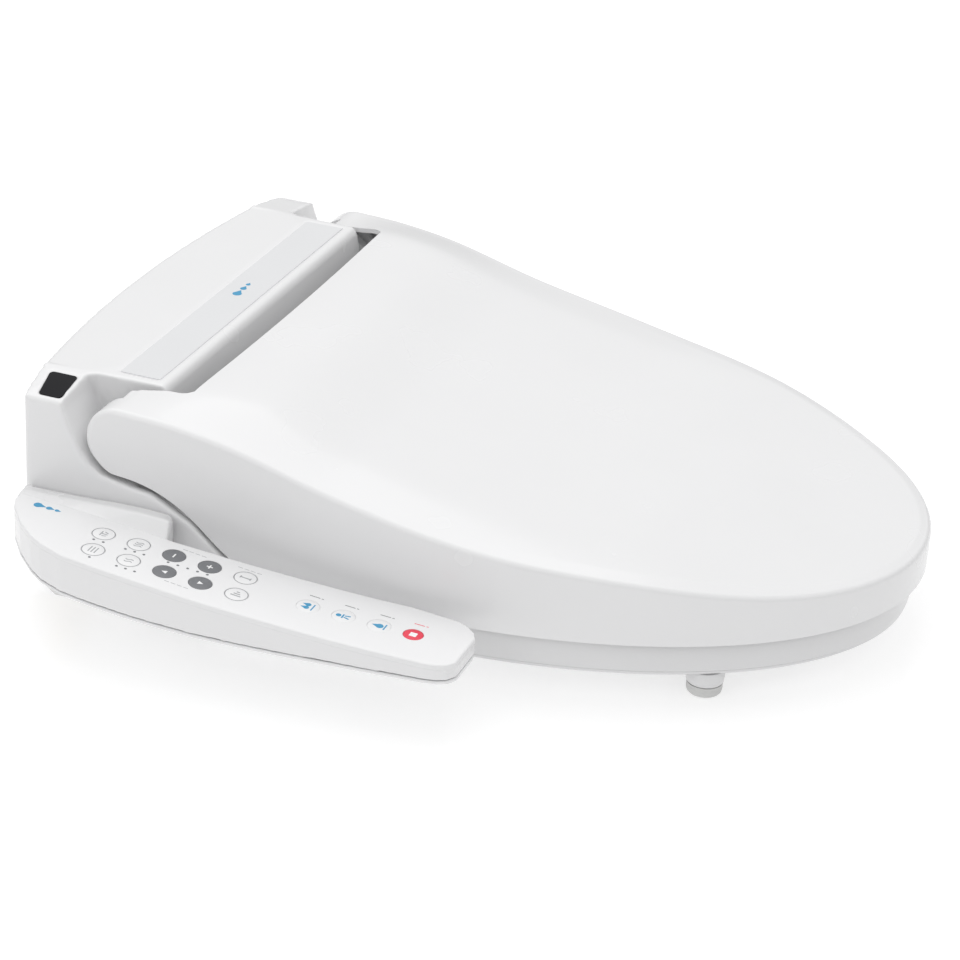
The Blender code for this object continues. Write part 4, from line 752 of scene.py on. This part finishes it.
KEY_MARKS = {
    "key_cleaning": [bar(0.0052, 0.0007, (0.0, 0.0015)), bar(0.0007, 0.0036, (0.0, -0.0008)),
                     bar(0.0007, 0.0026, (-0.0020, -0.0010), 0.4),
                     bar(0.0007, 0.0026, (0.0020, -0.0010), -0.4)],
    "key_eco": [bar(0.0062, 0.0007, (0.0, y)) for y in (0.0020, 0.0, -0.0020)],
    "key_seat_heat": [wave(0.0050, 0.0007, (x, 0.0)) for x in (-0.0019, 0.0, 0.0019)],
    "key_water_heat": [wave(0.0050, 0.0007, (x, 0.0)) for x in (-0.0012, 0.0012)],
    "key_minus": [bar(0.0040, 0.0009)],
    "key_plus": [bar(0.0040, 0.0009), bar(0.0009, 0.0014, (0.0, 0.0012)),
                 bar(0.0009, 0.0014, (0.0, -0.0012))],
    "key_back": [[(-0.0017, -0.0014), (0.0017, -0.0014), (0.0, 0.0018)]],
    "key_forward": [[(-0.0017, 0.0014), (0.0, -0.0018), (0.0017, 0.0014)]],
    "key_wide": [bar(0.0009, 0.0062), bar(0.0024, 0.0007, (0.0, 0.0031)),
                 bar(0.0024, 0.0007, (0.0, -0.0031))],
    "key_pulse": [bar(0.0009, 0.0062, (-0.0014, 0.0)), bar(0.0009, 0.0040, (0.0006, 0.0)),
                  bar(0.0009, 0.0020, (0.0026, 0.0))],
    "key_massage": [droplet(0.0034, (-0.0016, 0.0012)), droplet(0.0034, (0.0018, 0.0012)),
                    bar(0.0070, 0.0008, (0.0, -0.0030))],
    "key_front_wash": [disc_outline(0.0016, (0.0, 0.0030), 20), bar(0.0044, 0.0010, (0.0, 0.0004)),
                       bar(0.0010, 0.0034, (-0.0012, -0.0022), -0.25),
                       bar(0.0010, 0.0034, (0.0012, -0.0022), 0.25)],
    "key_rear_wash": [droplet(0.0046, (0.0, 0.0006)), bar(0.0060, 0.0009, (0.0, -0.0036))],
    "key_stop": [bar(0.0042, 0.0042)],
}


WASH_KEYS = ("key_massage", "key_front_wash", "key_rear_wash")
KEY_THICK = 0.0012
PRINT_THICK = 0.00004
CAPTION_SHIFT = 0.0118
INLAY_TOP = 0.1353
KEY_GAP = {name: 0.00008 if name in WASH_KEYS else 0.00022 for name in KEY_MARKS}


def make_keys(materials):
    """Round caps flush with the panel, each with a raised ring or a plain dish and a printed mark."""
    places = {}
    for name in KEY_MARKS:
        low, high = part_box(name)
        x, y = (low[0] + high[0]) / 2, (low[1] + high[1]) / 2
        radius = (high[0] - low[0]) / 2
        places[name] = (x, y, radius)
        slot = slot_of(name)
        profile = [(-KEY_THICK, radius), (-0.00025, radius), (-0.00008, radius - 0.00008),
                   (0.0, radius - 0.00025)]
        cap = turned(f"{name}_cap", (0, 0, 0), UP, profile, materials[slot], 48)
        lay = panel_frame(x, y)
        cap.data.transform(lay)
        place_piece(cap, f"{name}_cap", slot, name)
        if slot == "key_white":
            mark = materials["blue" if name in WASH_KEYS else "ring"]
            if name not in WASH_KEYS:
                add_mark(f"{name}_ring", ring_outlines(radius - 0.0001, radius - 0.0005), lay, mark,
                         f"{name}_cap", slot, PRINT_THICK)
        else:
            mark = materials["mark_white"]
        add_mark(f"{name}_mark", KEY_MARKS[name], lay, mark, f"{name}_cap", slot)
    return places


def film_section(y):
    """The panel's top at one station: a thin plate with rounded edges, lower towards its two ends."""
    first, last = FILM_ENDS
    end = max(min(y - first, last - y) / FILM_ROUND, 0.0)
    lowered = FILM_ROUND * 0.6 * (1 - math.sqrt(1 - (1 - min(end, 1.0)) ** 2))
    inner, outer = arm_edge(ARM_INNER, y), arm_edge(ARM_OUTER, y)
    edge = [(FILM_ROUND * (1 - math.cos(t)), FILM_THICK * (math.sin(t) - 1) * 0.8) for t in edge_turns(6)]
    near = [(inner - dx, dz) for dx, dz in edge]
    far = [(outer + dx, dz) for dx, dz in edge[::-1]]
    middle = [(near[-1][0] + (far[0][0] - near[-1][0]) * share, 0.0) for share in (0.25, 0.5, 0.75)]
    top = [(x, panel_height(y) - lowered + min(dz + lowered, 0.0)) for x, dz in near + middle + far]
    bottom = panel_height(y) - FILM_SKIRT
    return [(x, y, z) for x, z in top] + [(outer, y, bottom), (inner, y, bottom)]


def make_film(materials, places):
    first, last = FILM_ENDS
    steps = [step * FILM_ROUND / 5 for step in range(6)]
    ends = [first + step for step in steps] + [last - step for step in steps]
    knots = [y for y, _ in ARM_OUTER if first + FILM_ROUND < y < last - FILM_ROUND]
    stations = sorted(ends + finer([first + FILM_ROUND] + knots + [last - FILM_ROUND], 0.004)[1:-1])
    film = closed_solid("panel_film", [film_section(y) for y in stations], materials["film"], 50)
    rings, faces = [], []
    for name, (x, y, radius) in places.items():
        lay = panel_frame(x, y)
        start, sides = len(rings), 48
        outline = disc_outline(radius + KEY_GAP[name], sides=sides)
        rings += [lay @ Vector((u, v, z)) for z in (-0.004, 0.004) for u, v in outline]
        faces += [(start + i, start + (i + 1) % sides, start + sides + (i + 1) % sides, start + sides + i)
                  for i in range(sides)]
        faces.append(tuple(range(start + sides, start + 2 * sides)))
        faces.append(tuple(range(start, start + sides))[::-1])
    holes = add_mesh("key_holes", rings, faces, materials["film"])
    holes.hide_render = True
    holes.display_type = "WIRE"
    cut = film.modifiers.new("key_holes", "BOOLEAN")
    cut.operation = "DIFFERENCE"
    cut.solver = "EXACT"
    cut.object = holes
    settle(film, 50)
    place_piece(film, "housing", "overlay", "control_overlay")


def make_panel_print(materials, places):
    """Indicator dots beside the keys, dashes in place of captions, and plain drops."""
    lamps = [(-0.0478 + 0.0060 * i, -0.0010) for i in range(2)]
    lamps += [(-0.0279 + 0.0058 * i, -0.0010) for i in range(3)]
    lamps += [(-0.0012 + 0.0061 * i, -0.0010) for i in range(5)]
    lamps += [(-0.0438, 0.0185)] + [(-0.0268 + 0.0056 * i, 0.0190) for i in range(3)]
    for index, (along, across) in enumerate(lamps):
        add_mark(f"lamp_{index}", [disc_outline(0.00085, sides=16)], panel_frame(*arm_point(along, across)),
                 materials["key_grey"], "housing", "overlay")
    for index, (along, across) in enumerate(((0.010, -0.0188), (0.010, 0.0188), (0.0445, -0.0188))):
        dashes = [bar(0.0004, 0.0030, (0.0, 0.0040 * k)) for k in (-1.5, -0.5, 0.5, 1.5)]
        add_mark(f"rule_{index}", dashes, panel_frame(*arm_point(along, across)), materials["ring"],
                 "housing", "overlay", PRINT_THICK)
    for name in (*WASH_KEYS, "key_stop"):
        x, y, _ = places[name]
        dash = [bar(0.0006, 0.0064, (0.0, 0.0008)), bar(0.0006, 0.0014, (0.0, -0.0040))]
        ink = materials["key_red" if name == "key_stop" else "key_grey"]
        add_mark(f"{name}_caption", dash, panel_frame(x + CAPTION_SHIFT, y), ink, "housing", "overlay",
                 PRINT_THICK)
    drops = [droplet(0.0052, (0.0, 0.0075), math.pi), droplet(0.0036, (0.0, 0.0005), math.pi),
             droplet(0.0026, (0.0, -0.0045), math.pi)]
    add_mark("arm_drops", drops, panel_frame(-0.2112, 0.0075), materials["blue"], "housing", "overlay")
    drops = [droplet(0.0060, (-0.009, 0.0), -math.pi / 2), droplet(0.0042, (0.0, 0.0), -math.pi / 2),
             droplet(0.0030, (0.007, 0.0), -math.pi / 2)]
    add_mark("inlay_drops", drops, Matrix.Translation((0.012, -0.0115, INLAY_TOP)), materials["blue"],
             "housing", "inlay")


# ---------------------------------------------------------------- nodes kept from the frame

def looks_of(name, material):
    """A copy of a CAD node's surface as a piece of its own, sewn together and shaded smooth."""
    node = frame["nodes"][name]
    mesh = node.data.copy()
    mesh.materials.clear()
    obj = bpy.data.objects.new(f"{name}_skin", mesh)
    bpy.context.scene.collection.objects.link(obj)
    obj.matrix_world = node.matrix_world.copy()
    work = bmesh.new()
    work.from_mesh(mesh)
    bmesh.ops.remove_doubles(work, verts=work.verts, dist=2e-6)
    bmesh.ops.dissolve_limit(work, angle_limit=math.radians(0.5), verts=work.verts, edges=work.edges)
    bmesh.ops.recalc_face_normals(work, faces=work.faces)
    work.to_mesh(mesh)
    work.free()
    if "custom_normal" in mesh.attributes:
        mesh.attributes.remove(mesh.attributes["custom_normal"])
    mesh.materials.append(material)
    mesh.shade_smooth()
    mesh.set_sharp_from_angle(angle=math.radians(35))
    return obj


def body_of(name):
    return next(body for body, nodes in frame["record"]["behaviour"]["bodies"].items() if name in nodes)


def slot_of(name):
    return next(part["material_slot"] for part in frame["record"]["subparts"] if part["node"] == name)


SOFTENED = {"housing_cover": (0.0012, 5, 0.30), "arm_upper_cover": (0.0007, 18, 0.35),
            "arm_lower_cover": (0.0007, 2, 0.35), "housing_base": (0.0014, 1, 0.30)}
BEVELS = {"sensor_window": 0.0003, "top_inlay": 0.0004, "release_button": 0.0006, "nozzle_shroud": 0.0007,
          "mounting_plate": 0.0005, "water_inlet": 0.0003, "cord_gland": 0.0003, "nozzle_bracket": 0.0005,
          "water_heater": 0.0010, "seat_damper": 0.0006, "lid_damper": 0.0006, "hinge_pin_left": 0.0005,
          "hinge_pin_right": 0.0005, "nozzle_motor_rear": 0.0006, "nozzle_motor_front": 0.0006,
          "release_latch": 0.0004}


def make_node_looks(materials, done):
    for name in frame["nodes"]:
        if name in done:
            continue
        slot = slot_of(name)
        obj = looks_of(name, materials[slot])
        if name in SOFTENED:
            voxel, passes, keep = SOFTENED[name]
            soften(obj, voxel * (1.0), passes, keep)
        elif name in BEVELS:
            bevel(obj, BEVELS[name])
        place_piece(obj, body_of(name), slot, name)


def main():
    make_camera()
    materials = make_materials()
    make_studio()
    make_lid(materials)
    make_seat(materials)
    make_feet(materials)
    places = make_keys(materials)
    make_film(materials, places)
    make_panel_print(materials, places)
    done = {"lid_shell", "seat_upper_shell", "seat_lower_shell", "control_overlay", *places}
    done |= {name for name in frame["nodes"] if name.startswith(("foot_", "lid_bumper_"))}
    make_node_looks(materials, done)


main()
